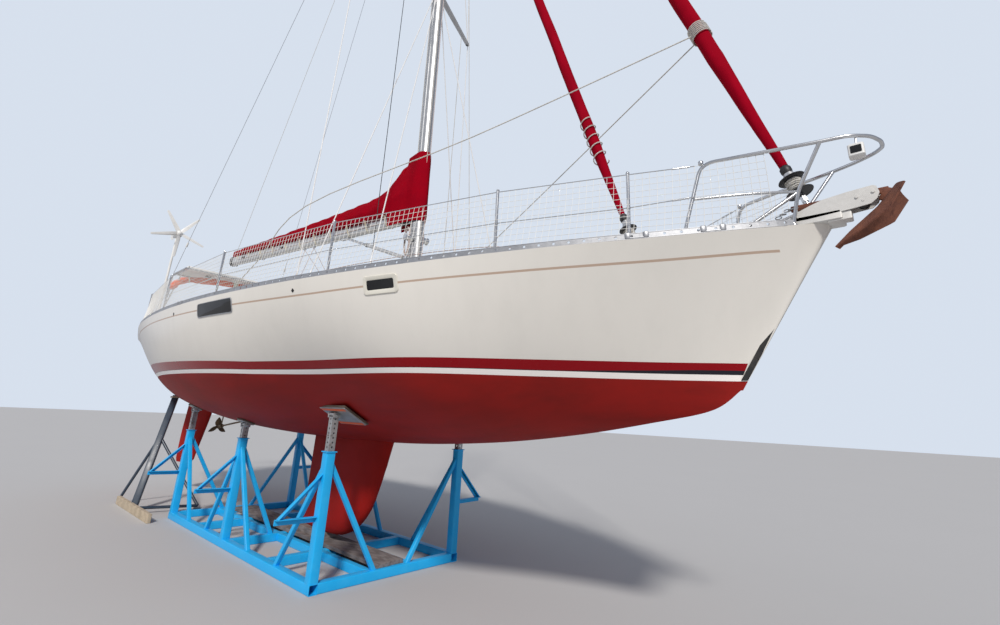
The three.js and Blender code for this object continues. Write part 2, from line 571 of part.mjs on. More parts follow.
place('backstays', fuse([
  block([craneBack - 40, -30, BACKSTAY.head - 14], [craneBack - GAP, 30, BACKSTAY.head + 14]),
  ...[-1, 1].flatMap((side) => {
    const foot = vec(BACKSTAY.x, side * BACKSTAY.y, BACKSTAY.z);
    const head = vec(craneBack - 22, side * 18, BACKSTAY.head);
    return [
      wire([foot, head]),
      block([foot.x - BACKSTAY.toggle, foot.y - BACKSTAY.toggle, foot.z - 40],
        [foot.x + BACKSTAY.toggle, foot.y + BACKSTAY.toggle, foot.z + 50]),
    ];
  }),
]).subtract(overDeck), STAINLESS);

// Bow roller to starboard of the stay, with the plough anchor hung in it
const ROLLER = { x: 6500, y: -80, z: 3256, radius: 34, cheek: 46, channel: 38 };
const CHEEK_OUTLINE = [[6060, 3196], [6120, 3262], [6280, 3318], [6560, 3346],
  [6592, 3290], [6540, 3222], [6330, 3205]];
const cheek = new THREE.Shape(CHEEK_OUTLINE.map(([x, z]) => new THREE.Vector2(x, z)));
const cheekPlate = (y) => new THREE.ExtrudeGeometry(cheek, { depth: 8, bevelEnabled: false })
  .rotateX(Math.PI / 2).translate(0, y + 4, 0);
const bowRoller = fuse([
  cheekPlate(ROLLER.y - ROLLER.cheek),
  cheekPlate(ROLLER.y + ROLLER.cheek),
  block([6040, ROLLER.y - ROLLER.cheek - 4, 3150], [6380, 60, 3226]),
  rod(vec(ROLLER.x, ROLLER.y - 53, ROLLER.z), vec(ROLLER.x, ROLLER.y + 53, ROLLER.z), 9, 8),
  rod(vec(ROLLER.x, ROLLER.y - ROLLER.channel, ROLLER.z), vec(ROLLER.x, ROLLER.y + ROLLER.channel, ROLLER.z),
    ROLLER.radius, 14),
  beam(vec(6300, ROLLER.y - 54, 3206), vec(6450, ROLLER.y - 54, 3118), 20, 26),
]).subtract(overDeck);
place('bow_roller', bowRoller, STAINLESS);
const SHANK = { high: 44, thick: 22, aft: 5760, front: 6640 };
const shankZ = ROLLER.z + ROLLER.radius + SHANK.high / 2 + GAP;
const flukeRing = (x, z, half, deep) => {
  const down = vec(0.707, 0, -0.707);
  return [[-half, deep], [0, 0], [half, deep], [half, deep + 12], [0, 40], [-half, deep + 12]]
    .map(([y, d]) => add(vec(x, ROLLER.y, z), down.clone().multiplyScalar(d)).setY(ROLLER.y + y));
};
place('plough_anchor', fuse([
  loft([flukeRing(6306, 2985, 6, 4), flukeRing(6400, 3075, 70, 55), flukeRing(6560, 3205, 140, 95),
    flukeRing(6670, 3330, 165, 70)]),
  beam(vec(SHANK.aft, ROLLER.y, shankZ), vec(SHANK.front, ROLLER.y, shankZ), SHANK.thick, SHANK.high),
  beam(vec(6640, ROLLER.y, 3322), vec(6600, ROLLER.y, 3245), 26, 50),
]).subtract(overDeck), RUSTY);

// Furled headsails: each rolls round its stay, with a drum at its foot
const SAILS = {
  genoa: { low: 330, rollLow: 620, drum: 95, thick: [70, 76, 42] },
  staysail: { low: 260, rollLow: 560, drum: 82, thick: [58, 62, 36] },
};
for (const [name, stay] of Object.entries(STAYS)) {
  const foot = vec(stay.footX, 0, stay.footZ);
  const head = vec(stay.headX, 0, stay.headZ);
  const along = head.clone().sub(foot);
  const length = along.length();
  along.normalize();
  const at = (distance) => add(foot, along.clone().multiplyScalar(distance));
  const { low, rollLow, drum, thick } = SAILS[name];
  const high = length * stay.rolled;
  const group = new THREE.Group();
  group.position.copy(foot);
  yacht.add(group);
  const local = (distance) => along.clone().multiplyScalar(distance);
  place(`${name}_furled`, fuse([
    rod(local(rollLow), local(rollLow + 2500), thick[0], 12, thick[1]),
    rod(local(rollLow + 2499), local(high - 60), thick[1], 12, thick[2]),
    rod(local(low + 150), local(rollLow + 10), 26, 10),
    rod(local(low), local(low + 14), drum, 16),
    rod(local(low + 10), local(low + 130), drum * 0.62, 14),
    rod(local(low + 126), local(low + 140), drum, 16),
    rod(local(low + 136), local(low + 160), 40, 12),
    rod(local(high - 80), local(high - GAP), 30, 10),
  ]), CRIMSON_CLOTH, group);
  place(`${name}_stay_foot`, fuse([
    rod(at(-20), at(low - GAP), 18, 8),
    beam(at(-70), at(110), 44, 26, vec(0, 1, 0)),
  ]).subtract(overDeck).subtract(bowRoller).subtract(bowRoller.translate(0, 0, GAP)), STAINLESS);
}

// Boom with its rigid vang, and the sail stowed under its cover on top
const boom = new THREE.Group();
boom.position.set(GOOSENECK.x, 0, GOOSENECK.z);
boom.rotation.z = BOOM_SWING;
yacht.add(boom);
const boomAt = (distance, height = 0) => vec(-distance, 0, distance * BOOM_RISE + height);
const boomRing = (distance, wide, high) => Array.from({ length: 10 }, (_, i) => {
  const angle = ((i + 0.5) * 2 * Math.PI) / 10;
  return add(boomAt(distance), vec(0, (wide / 2) * Math.cos(angle), (high / 2) * Math.sin(angle)));
});
const vangFoot = vec(0, 0, VANG_Z - GOOSENECK.z);
const vangHead = boomAt(1500, -BOOM_HIGH / 2 + 20);
place('boom_and_vang', fuse([
  loft([76, BOOM_LENGTH].map((d) => boomRing(d, BOOM_WIDE, BOOM_HIGH))),
  rod(vec(0, 0, -HINGE.boom), vec(0, 0, HINGE.boom), HINGE.pin, 10),
  beam(vec(0, 0, 0), vec(-100, 0, 2), 26, 60, vec(0, 0, 1)),
  beam(vangFoot, vangFoot.clone().lerp(vangHead, 0.07), 20, 24),
  rod(vangFoot.clone().lerp(vangHead, 0.055), vangHead, 26, 10),
  rod(add(vangFoot, vec(0, 0, -HINGE.vang)), add(vangFoot, vec(0, 0, HINGE.vang)), HINGE.pin + 6, 10),
]), ALUMINIUM, boom);
const COVER = [ // distance along the boom, half width and height of the stowed sail above the boom's middle
  { along: 150, half: 165, low: 80, top: 840 },
  { along: 300, half: 165, low: 80, top: 760 },
  { along: 520, half: 150, low: 80, top: 560 },
  { along: 800, half: 145, low: 80, top: 450 },
  { along: 1700, half: 135, low: 80, top: 385 },
  { along: 3200, half: 115, low: 80, top: 300 },
  { along: 4900, half: 85, low: 80, top: 235 },
  { along: 5180, half: 60, low: 80, top: 215 },
];
// The cover's section: share of the half width, share of the height from its lower edge to its top
const COVER_SECTION = [[0, 0], [0.8, 0], [1, 0.3], [0.72, 0.68], [0.22, 1],
  [-0.22, 1], [-0.72, 0.68], [-1, 0.3], [-0.8, 0]];
const coverRing = ({ along, half, low, top }) => COVER_SECTION
  .map(([across, up]) => add(boomAt(along, low + (top - low) * up), vec(0, half * across, 0)));
const boomRoom = toSolid(loft([0, BOOM_LENGTH + 100]
  .map((d) => boomRing(d, BOOM_WIDE + 2 * GAP, BOOM_HIGH + 2 * GAP))));
place('sail_cover', toSolid(loft(COVER.map(coverRing))).subtract(boomRoom), CRIMSON_CLOTH, boom);

// The cover's collar round the front of the mast
const COLLAR = { low: 4330, high: 5400, bulge: 42 };
const collarRing = (z, grow) => oval(mastX(z) + 14, z, MAST_LONG + 2 * grow, MAST_WIDE + 2 * grow, 16);
const collarSolid = toSolid(loft([COLLAR.low, COLLAR.low + 200, COLLAR.high - 120, COLLAR.high]
  .map((z, i) => collarRing(z, [16, COLLAR.bulge, COLLAR.bulge, 14][i]))));
place('cover_collar', cutAll(collarSolid.subtract(mastRoom), [
  block([MAST_X - 400, -200, 4000], [mastX(4900) - 66, 200, 5600]),
  block([mastX(4900) - 70, -200, 4000], [mastX(4900) - 60, 200, 5600]),
]), CRIMSON_CLOTH);

// Pulpit round the bow
const RAIL_TUBE = 13;
const pulpitSide = (side) => {
  const at = (x, y, z) => vec(x, side * y, z);
  const top = at(5600, 470, 3670);
  const bend = at(6330, 262, 3690);
  return [
    pipe([at(5470, 550, deckZ(5470, 550) - 30), top], RAIL_TUBE),
    pipe([top, bend, at(6580, 150, 3712), at(6650, 0, 3722)], RAIL_TUBE),
    pipe([at(6095, 150, deckZ(6095, 150) - 30), at(6150, 175, 3400), bend], RAIL_TUBE),
    pipe([at(5535, 508, 3380), at(6150, 175, 3400)], RAIL_TUBE * 0.8),
    pipe([at(6140, 172, 3390), at(5800, 335, deckZ(5800, 335) - 30)], RAIL_TUBE),
    ball(top, RAIL_TUBE),
  ];
};
place('pulpit', fuse([...pulpitSide(-1), ...pulpitSide(1), ball(vec(6650, 0, 3722), RAIL_TUBE)])
  .subtract(overDeck), STAINLESS);

// Stanchions and lifelines
const STANCHION_X = [5130, 4180, 2500, 520, -1450, -3300];
const STANCHION = { high: 560, inset: 74, radius: 12 };
const LIFELINE = { front: 5560, aft: -4860, radius: 4 };
const railPoint = (x, side, high) => vec(x, side * (sheerY(x) - STANCHION.inset), sheerZ(x) + high);
for (const [name, side] of [['stanchions_starboard', -1], ['stanchions_port', 1]]) {
  const line = (high) => [
    vec(LIFELINE.front, side * (490 + (high < 400 ? 30 : 0)), high > 400 ? 3655 : 3390),
    ...STANCHION_X.map((x) => railPoint(x, side, high)),
    railPoint(LIFELINE.aft, side, high),
  ];
  place(name, fuse([
    ...STANCHION_X.flatMap((x) => [
      rod(railPoint(x, side, 0), railPoint(x, side, STANCHION.high + 8), STANCHION.radius, 6),
      rod(railPoint(x, side, 0), railPoint(x, side, 26), 30, 8),
    ]),
    pipe(line(STANCHION.high), LIFELINE.radius, 4),
    pipe(line(STANCHION.high / 2), LIFELINE.radius, 4),
  ]).subtract(overDeck), STAINLESS);
}

// Pushpit: a rail round each quarter, open in the middle
for (const [name, side] of [['pushpit_starboard', -1], ['pushpit_port', 1]]) {
  const corner = vec(-5950, side * 1160, 3590);
  const front = railPoint(LIFELINE.aft - 8 - RAIL_TUBE, side, 600);
  const gate = vec(-5960, side * 560, 3600);
  const lower = (p) => vec(p.x, p.y, p.z - 290);
  place(name, fuse([
    pipe([railPoint(front.x, side, 0), front, corner, gate, vec(gate.x, gate.y, 2990)], RAIL_TUBE),
    pipe([lower(front), lower(corner), lower(gate)], RAIL_TUBE * 0.8),
    rod(vec(corner.x, corner.y, 2980), corner, RAIL_TUBE),
    rod(railPoint(-5400, side, 0), vec(-5400, (front.y + corner.y) / 2 - side * 6, 3600), RAIL_TUBE),
  ]).subtract(overDeck), STAINLESS);
}

// Stern arch that carries two solar panels, joined to the hoop that the furled orange awning is rolled on
const ARCH_TUBE = 16;
const HOOP_TUBE = 13;
const archRoof = ARCH.half + 30;
const strutEnds = (side) => [vec(ARCH.legX, side * ARCH.leg, 3720), vec(-4720, side * archRoof, ARCH.z)];
const hoopHalf = (side) => [
  vec(-4980, side * 1255, 3050), vec(-5010, side * 1195, 4000),
  strutEnds(side)[0].lerp(strutEnds(side)[1], 0.63),
  vec(-4990, side * 900, 4285), vec(-4945, side * 450, 4345)];
const hoopPath = [...hoopHalf(-1), vec(-4930, 0, 4365), ...hoopHalf(1).reverse()];
place('stern_arch', fuse([
  ...[-1, 1].flatMap((side) => [
    pipe([vec(ARCH.legX, side * ARCH.leg, 2950), vec(ARCH.legX, side * ARCH.leg, 4290),
      vec(ARCH.aft, side * archRoof, ARCH.z), vec(-4600, side * archRoof, ARCH.z)], ARCH_TUBE),
    rod(...strutEnds(side), HOOP_TUBE),
  ]),
  ...[ARCH.aft, -4610].map((x) => rod(vec(x, -archRoof, ARCH.z), vec(x, archRoof, ARCH.z), ARCH_TUBE)),
  pipe(hoopPath, HOOP_TUBE),
]).subtract(overDeck).subtract(coamings), STAINLESS);
for (const [name, side] of [['solar_panel_starboard', -1], ['solar_panel_port', 1]]) {
  const y = [side * 12, side * ARCH.half].sort((a, b) => a - b);
  const low = ARCH.z + ARCH_TUBE + GAP;
  place(name, toSolid(block([ARCH.aft - 50, y[0], low], [ARCH.front + 80, y[1], ARCH.z + 52])), SOLAR);
}
const rollEnd = (side) => hoopHalf(side)[1].lerp(hoopHalf(side)[2], 0.15);
const rollPath = [rollEnd(-1), ...hoopPath.slice(2, -2), rollEnd(1)];
place('awning_roll', toSolid(pipe(rollPath, 60, 12)).subtract(fuse([
  pipe(hoopPath, HOOP_TUBE + 2 * GAP),
  ...[-1, 1].map((side) => rod(...strutEnds(side), HOOP_TUBE + 2 * GAP)),
])), ORANGE_CLOTH);

// Wind generator: pole, a head that turns into the wind and a rotor of five blades
place('turbine_pole', fuse([
  rod(vec(TURBINE.x, TURBINE.y, 2990), vec(TURBINE.x, TURBINE.y, TURBINE.z - 75), 24, 12),
  rod(vec(TURBINE.x, TURBINE.y, 2990), vec(TURBINE.x, TURBINE.y, deckZ(TURBINE.x, TURBINE.y) + 14), 45, 12),
  rod(vec(TURBINE.x, TURBINE.y, 4180), vec(ARCH.legX, -ARCH.leg, 4180), 11, 8),
]).subtract(overDeck).subtract(toSolid(rod(vec(ARCH.legX, -ARCH.leg, 2900), vec(ARCH.legX, -ARCH.leg, 4288),
  ARCH_TUBE + 2 * GAP, 24))), STAINLESS);
const head = new THREE.Group();
head.position.set(TURBINE.x, TURBINE.y, TURBINE.z);
yacht.add(head);
place('turbine_head', fuse([
  rod(vec(-150, 0, 0), vec(TURBINE.reach - 34, 0, 0), 60, 14, 78),
  rod(vec(0, 0, 0), vec(TURBINE.reach - 26 - GAP, 0, 0), 20, 10),
  rod(vec(-330, 0, 0), vec(-140, 0, 0), 14, 8, 40),
  rod(vec(0, 0, -75 + GAP), vec(0, 0, -40), 34, 12),
  beam(vec(-290, 0, 36), vec(-560, 0, 60), 8, 190),
]), paint(0xe8e8e6, 0.4), head);
const rotor = new THREE.Group();
rotor.position.set(TURBINE.reach, 0, 0);
head.add(rotor);
const rotorParts = [rod(vec(-26, 0, 0), vec(40, 0, 0), 62, 14, 30)];
for (let i = 0; i < 5; i += 1) {
  const corners = [[-42, 20], [50, 20], [48, 150], [26, TURBINE.blade], [-20, TURBINE.blade], [-40, 150]];
  const outline = new THREE.Shape(corners.map(([x, y]) => new THREE.Vector2(x, y)));
  const leaf = new THREE.ExtrudeGeometry(outline, { depth: 9, bevelEnabled: false });
  leaf.translate(0, 0, -4.5).rotateX(Math.PI / 2).rotateZ(Math.PI / 2 + 0.3);
  rotorParts.push(leaf.rotateX((i * 2 * Math.PI) / 5 + TURBINE.phase));
}
place('turbine_rotor', fuse(rotorParts), paint(0xe8e8e6, 0.4), rotor);

// Cradle: a welded frame of box beams on the floor, with six posts
// Each post has braces along the side and one across, and an outrigger to the outside.
const POSTS = [
  { name: 'front', x: POST_X[0], across: BEAM_X[0], inner: 215, feet: [-800] },
  { name: 'middle', x: POST_X[1], across: BEAM_X[2], inner: 375, feet: [740, -690] },
  { name: 'aft', x: POST_X[2], across: BEAM_X[4], inner: 215, feet: [740] },
];
const postY = CRADLE.half - CRADLE.beam / 2;
const BRACE = 50; // width of a brace
const OUTRIGGER = { y: 1420, z: 680, wide: 56 };
const INNER_HALF = 40; // half width of an inner beam
const clearHalf = CRADLE.half - CRADLE.beam;
const BAY_SIDES = [
  [-clearHalf, -INNER_Y - INNER_HALF],
  [INNER_HALF - INNER_Y, INNER_Y - INNER_HALF],
  [INNER_Y + INNER_HALF, clearHalf],
];
const bays = BEAM_X.slice(1).flatMap((x, i) => BAY_SIDES.map(([low, high]) => block(
  [x + CRADLE.beam / 2, low, -10], [BEAM_X[i] - CRADLE.beam / 2, high, CRADLE.beam + 10])));
const cradlePlate = block([CRADLE.aft, -CRADLE.half, 0], [CRADLE.front, CRADLE.half, CRADLE.beam]);
place('cradle_frame', cutAll(toSolid(cradlePlate), bays), BLUE_STEEL);
const postParts = ({ x, across, inner, feet }, side) => {
  const y = side * postY;
  const half = CRADLE.tube / 2;
  const below = (drop) => vec(x, y, CRADLE.post - drop);
  const arm = vec(x, side * OUTRIGGER.y, OUTRIGGER.z + 10);
  return [
    block([x - half, y - half, CRADLE.beam - 1], [x + half, y + half, CRADLE.post]),
    ...feet.map((foot) => beam(below(85), vec(x + foot, y, CRADLE.beam - 30), BRACE, BRACE)),
    beam(below(68), vec(across, side * inner, CRADLE.beam - 30), BRACE, BRACE, vec(1, 0, 0)),
    beam(vec(x, y, OUTRIGGER.z), arm, OUTRIGGER.wide, OUTRIGGER.wide),
    beam(below(200), add(arm, vec(0, side * -40, 0)), BRACE, BRACE, vec(1, 0, 0)),
  ];
};
const overBase = toSolid(block([CRADLE.aft - 10, -CRADLE.half - 10, -10],
  [CRADLE.front + 10, CRADLE.half + 10, CRADLE.beam + GAP]));
for (const post of POSTS) {
  for (const [sideName, side] of [['starboard', -1], ['port', 1]]) {
    place(`cradle_post_${post.name}_${sideName}`, fuse(postParts(post, side)).subtract(overBase), BLUE_STEEL);
  }
}

// Jacks: a square tube in each post with a pad against the hull
// A pad's length and width, and how far its middle lies forward and inboard of the tube
const JACK = { tube: 74, thick: 74 };
const PADS = { front: [530, 360, 55, 80], middle: [200, 200, 0, 0], aft: [200, 200, 0, 0] };
const probeHull = (x, y) => hullShell.intersect(toSolid(rod(vec(x, y, 1000), vec(x, y, 2900), 1, 4)))
  .boundingBox().min[2];
for (const { name, x } of POSTS) {
  for (const [sideName, side] of [['starboard', -1], ['port', 1]]) {
    const y = side * postY;
    const [long, wide, forward, inboard] = PADS[name];
    const middle = vec(x + forward, y - side * inboard, 0);
    const slope = (probeHull(middle.x, middle.y + 60) - probeHull(middle.x, middle.y - 60)) / 120;
    const pad = new THREE.BoxGeometry(long, wide, JACK.thick);
    pad.rotateX(Math.atan(slope)).translate(middle.x, middle.y, probeHull(middle.x, middle.y));
    const half = JACK.tube / 2;
    place(`jack_${name}_${sideName}`, fuse([
      block([x - half, y - half, CRADLE.post + GAP], [x + half, y + half, probeHull(x, y) - 20]),
      pad,
    ]).subtract(underHull), GALVANISED);
  }
}

// Timber under the keel, and the loose stand under the starboard quarter
place('keel_planks', fuse([
  block([-2350, -184, CRADLE.beam + GAP], [1735, 184, 145]),
  block([-560, -120, 144], [400, 120, PLANK_TOP]),
]), TIMBER);
const STAND = { x: -4420, y: -800, foot: -3600, footY: -1270, beamHigh: 175 };
const standTop = probeHull(STAND.x, STAND.y);
place('stern_stand', fuse([
  block([-5050, STAND.footY - 70, 0], [-3050, STAND.footY + 60, STAND.beamHigh]),
  beam(vec(STAND.foot, STAND.footY, STAND.beamHigh - 60), vec(STAND.x, STAND.y, standTop - 10), 100, 80),
  rod(vec(-4500, STAND.footY, STAND.beamHigh - 60), vec(-4080, -1000, 1130), 24, 8),
  rod(vec(-4080, -985, 1130), vec(-3250, -420, 60), 24, 8),
  rod(vec(-3250, -420, 60), vec(-3300, STAND.footY, 90), 24, 8),
  rod(vec(-3250, -420, 60), vec(-3250, -420, 0), 60, 12),
]).subtract(underHull), GREY_STEEL);

export default yacht;
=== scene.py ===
"""A sailing yacht ashore in its steel cradle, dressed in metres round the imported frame."""

from math import atan2, copysign, cos, hypot, pi, radians, sin, sqrt, tau

import bmesh
import bpy
import numpy as np
from bpy.props import FloatProperty, FloatVectorProperty, IntProperty, PointerProperty
from mathutils import Matrix, Vector, noise
from mathutils.bvhtree import BVHTree


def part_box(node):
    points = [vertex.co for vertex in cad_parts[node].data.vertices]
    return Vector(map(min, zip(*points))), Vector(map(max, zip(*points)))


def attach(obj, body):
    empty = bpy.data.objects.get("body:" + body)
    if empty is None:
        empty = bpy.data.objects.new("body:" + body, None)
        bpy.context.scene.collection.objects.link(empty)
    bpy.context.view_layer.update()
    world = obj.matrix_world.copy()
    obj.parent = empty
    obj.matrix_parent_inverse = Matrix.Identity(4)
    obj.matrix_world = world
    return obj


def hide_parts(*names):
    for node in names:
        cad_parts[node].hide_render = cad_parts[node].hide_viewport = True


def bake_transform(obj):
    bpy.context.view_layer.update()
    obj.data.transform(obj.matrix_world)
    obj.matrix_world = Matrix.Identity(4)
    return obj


bl_info = {
    "name": "Sailing Yacht in its Cradle",
    "version": (1, 0, 0),
    "blender": (4, 5, 0),
    "location": "View3D > Sidebar > Yacht",
    "description": "Dresses a cruising yacht and the cradle that it stands in",
    "category": "Object",
}

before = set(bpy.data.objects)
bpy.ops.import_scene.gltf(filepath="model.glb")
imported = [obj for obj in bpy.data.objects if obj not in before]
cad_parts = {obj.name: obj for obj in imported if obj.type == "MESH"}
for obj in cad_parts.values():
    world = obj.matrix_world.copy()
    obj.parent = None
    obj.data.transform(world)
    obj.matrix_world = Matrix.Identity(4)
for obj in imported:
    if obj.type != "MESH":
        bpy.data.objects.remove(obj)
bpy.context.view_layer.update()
ASHORE = "boat_and_cradle"
UP = Vector((0, 0, 1))

# Hull: sheer x, y, z, then keel x, z, and the two handles of the curve between, y and z
SECTIONS = np.array([
    (6.290, 0.055, 3.170, 5.610, 2.040, 0.014, 2.420, 0.030, 2.800),
    (5.950, 0.330, 3.125, 5.400, 1.895, 0.050, 2.060, 0.150, 2.560),
    (5.350, 0.680, 3.075, 4.950, 1.790, 0.170, 1.850, 0.390, 2.430),
    (4.400, 1.150, 3.020, 4.200, 1.650, 0.420, 1.720, 0.880, 2.230),
    (3.300, 1.550, 2.980, 3.200, 1.520, 0.795, 1.575, 1.375, 2.015),
    (1.900, 1.880, 2.955, 1.880, 1.425, 0.725, 1.540, 1.680, 2.105),
    (0.300, 2.080, 2.945, 0.300, 1.395, 1.170, 1.460, 1.950, 1.945),
    (-1.300, 2.100, 2.950, -1.300, 1.430, 1.280, 1.495, 1.925, 1.980),
    (-2.900, 1.955, 2.960, -2.900, 1.535, 1.160, 1.595, 1.685, 2.120),
    (-4.400, 1.660, 2.975, -4.450, 1.665, 1.000, 1.745, 1.310, 2.295),
    (-5.500, 1.420, 2.990, -5.750, 1.890, 0.830, 1.970, 1.010, 2.480),
    (-6.050, 1.290, 3.000, -6.640, 2.135, 0.710, 2.215, 0.840, 2.700),
])
DECK_CAMBER = 0.045
SEAT_Z, SOLE_Z = 2.86, 2.45
MAST_LONG, MAST_WIDE, MAST_FOOT, MAST_TOP = 0.212, 0.15, 3.3256, 17.7
SPREADERS = ((8.46, 1.2, 0.52), (12.9, 0.9, 0.4))
GOOSENECK = Vector((1.425, 0, 4.45))
VANG_Z = 3.83
ROLLER_Y, ROLLER_Z = -0.08, 3.256
BOOM_SWING = radians(5.5)
BOOM_RISE = 0.026

# Headstays: foot and head as x and z, shares and distances along the stay, drum and rolled sail
STAYS = {
    "genoa": {"foot": (6.21, 3.25), "head": (1.325, 17.56), "rolled": 0.965, "low": 0.22, "start": 0.48,
              "drum": 0.095, "thick": (0.07, 0.076, 0.042), "turns": 7},
    "staysail": {"foot": (4.884, 3.12), "head": (1.43, 13.36), "rolled": 0.95, "low": 0.26, "start": 0.56,
                 "drum": 0.082, "thick": (0.058, 0.062, 0.036), "turns": 5},
}
STANCHION_X = (5.13, 4.18, 2.5, 0.52, -1.45, -3.3)
POST_PLACES, POST_X = ("front", "middle", "aft"), (1.725, -0.545, -2.665)
SIDES = (("starboard", -1), ("port", 1))
JOIN = 2e-5

BOOM_HALF_WIDE, BOOM_HALF_HIGH = 0.06, 0.095
VANG_ALONG = 1.5
WHEEL_CENTRE, WHEEL_RADIUS, WHEEL_SPOKES = Vector((-4.56, 0, 3.33)), 0.45, 5
ARCH_HALF, ARCH_LEG, ARCH_Z = 1.09, 1.11, 4.44
GENERATOR = (-5.893, -1.1, 5.46)
AWNING_RADIUS, AWNING_TIES = 0.066, (0.03, 0.25, 0.5, 0.75, 0.97)

# Rooms cut down into the hull: aft and forward end, half width, floor and radius of the corners.
# They are the foot well, the seats, the way aft, the stern platform, its step and the anchor locker.
HULL_ROOMS = ((-5.3, -2.45, 0.42, SOLE_Z, 0.05), (-5.45, -2.45, 1.15, SEAT_Z, 0.08), (-5.9, -5.4, 0.3, SEAT_Z, 0.02),
              (-6.9, -6.16, 0.5, 2.33, 0.03), (-6.2, -5.85, 0.46, 2.59, 0.03), (5.18, 5.62, 0.24, 2.85, 0.02))
ROOM_TOP = 3.4

# Painted bands of the hull: heights above the floor, forward and aft where they climb
ANTIFOULING_TOP, WHITE_TOP = 2.104, 2.1475
STRIPE_TOP, DARK_TOP = (2.229, 2.279), (2.152, 2.1785)
COVE_BELOW_SHEER, COVE_HALF, COVE_END = (0.151, 0.11), 0.0085, 6.0

# Windows in the hull: aft and forward end, top and bottom below the sheer, width of the frame
HULL_WINDOWS = ((3.018, 3.375, 0.07, 0.23, 0.038), (0.262, 1.068, 0.058, 0.22, 0.009))
PORTHOLE_X, PORTHOLE_BELOW = (2.121, -0.55), 0.098

# The photograph's camera, its turn in degrees as yaw, pitch and roll, and the lamps
EYE, EYE_TURN, EYE_LENS, EYE_SHIFT = (6.695, -3.848, 1.76), (132.33, 16.18, 2.88), 17.41, -0.0344
LAMPS = (("key", (14, -16, 17), 2.9, 0.12, (1.0, 0.95, 0.89)), ("fill", (-20, -14, 8), 0.35, 1.2, (0.92, 0.95, 1.0)))


def section(at):
    """The hull's section at a place along the table."""
    i = min(len(SECTIONS) - 2, int(at))
    t = at - i
    a, b, c, d = (SECTIONS[max(0, min(len(SECTIONS) - 1, i + k))] for k in (-1, 0, 1, 2))
    return b + 0.5 * t * (c - a + t * (2 * a - 5 * b + 4 * c - d + t * (3 * (b - c) + d - a)))


def sheer(x):
    """Half width and height of the deck's edge at x, found by halving."""
    low, high = 0.0, len(SECTIONS) - 1.0
    for _ in range(30):
        middle = (low + high) / 2
        if section(middle)[0] > x:
            low = middle
        else:
            high = middle
    found = section(low)
    return found[1], found[2]


def deck_z(x, y):
    half, height = sheer(x)
    return height + DECK_CAMBER * (1 - min(1, abs(y) / half))


def hull_side(at, count):
    """Points from the keel up to the deck's edge, on the port side."""
    sx, sy, sz, kx, kz, ly, lz, hy, hz = section(at)
    t = np.linspace(0, 1, count)
    u = 1 - t
    y = 3 * u * t * t * hy + 3 * u * u * t * ly + t ** 3 * sy
    z = u ** 3 * kz + 3 * u * u * t * lz + 3 * u * t * t * hz + t ** 3 * sz
    return np.stack([kx + (sx - kx) * (z - kz) / (sz - kz), y, z], 1)


def mast_x(z):
    return 1.604 - 0.02 * (z - 3.3)


def boom_point(along, side=0.0, height=0.0):
    """A point by its distance along the boom, to port of it and above its middle."""
    local = Vector((-along, side, along * BOOM_RISE + height))
    return GOOSENECK + Matrix.Rotation(BOOM_SWING, 3, "Z") @ local


def mix_rows(rows, at):
    """A row between the rows of a table, by the first column."""
    for a, b in zip(rows, rows[1:]):
        if at <= b[0]:
            t = max(0.0, (at - a[0]) / (b[0] - a[0]))
            return [p + (q - p) * t for p, q in zip(a, b)]
    return list(rows[-1])


def smooth_path(points, steps=6):
    """A smooth line through points."""
    points = [Vector(p) for p in points]
    line = []
    for i in range(len(points) - 1):
        a, b = points[max(0, i - 1)], points[i]
        c, d = points[i + 1], points[min(len(points) - 1, i + 2)]
        for k in range(steps):
            t = k / steps
            line.append(b + 0.5 * t * (c - a + t * (2 * a - 5 * b + 4 * c - d + t * (3 * (b - c) + d - a))))
    return line + [points[-1]]


def bent_path(points, radius=0.06, steps=5):
    """Straight runs through points with rounded corners."""
    points = [Vector(p) for p in points]
    line = [points[0]]
    for before, corner, after in zip(points, points[1:], points[2:]):
        back, on = before - corner, after - corner
        reach = min(radius, back.length * 0.45, on.length * 0.45)
        start, end = corner + back.normalized() * reach, corner + on.normalized() * reach
        for k in range(steps + 1):
            t = k / steps
            line.append(start * (1 - t) ** 2 + corner * 2 * t * (1 - t) + end * t * t)
    return line + [points[-1]]


def rounded_ring(wide, high, corner, steps=3):
    """A rectangle with rounded corners, as x and y pairs."""
    ring = []
    for sx, sy, turn in ((1, 1, 0), (-1, 1, 1), (-1, -1, 2), (1, -1, 3)):
        for k in range(steps + 1):
            angle = (turn + k / steps) * pi / 2
            ring.append((sx * (wide / 2 - corner) + corner * cos(angle),
                         sy * (high / 2 - corner) + corner * sin(angle)))
    return ring


def circle(radius, sides):
    return [(radius * cos(tau * k / sides), radius * sin(tau * k / sides)) for k in range(sides)]


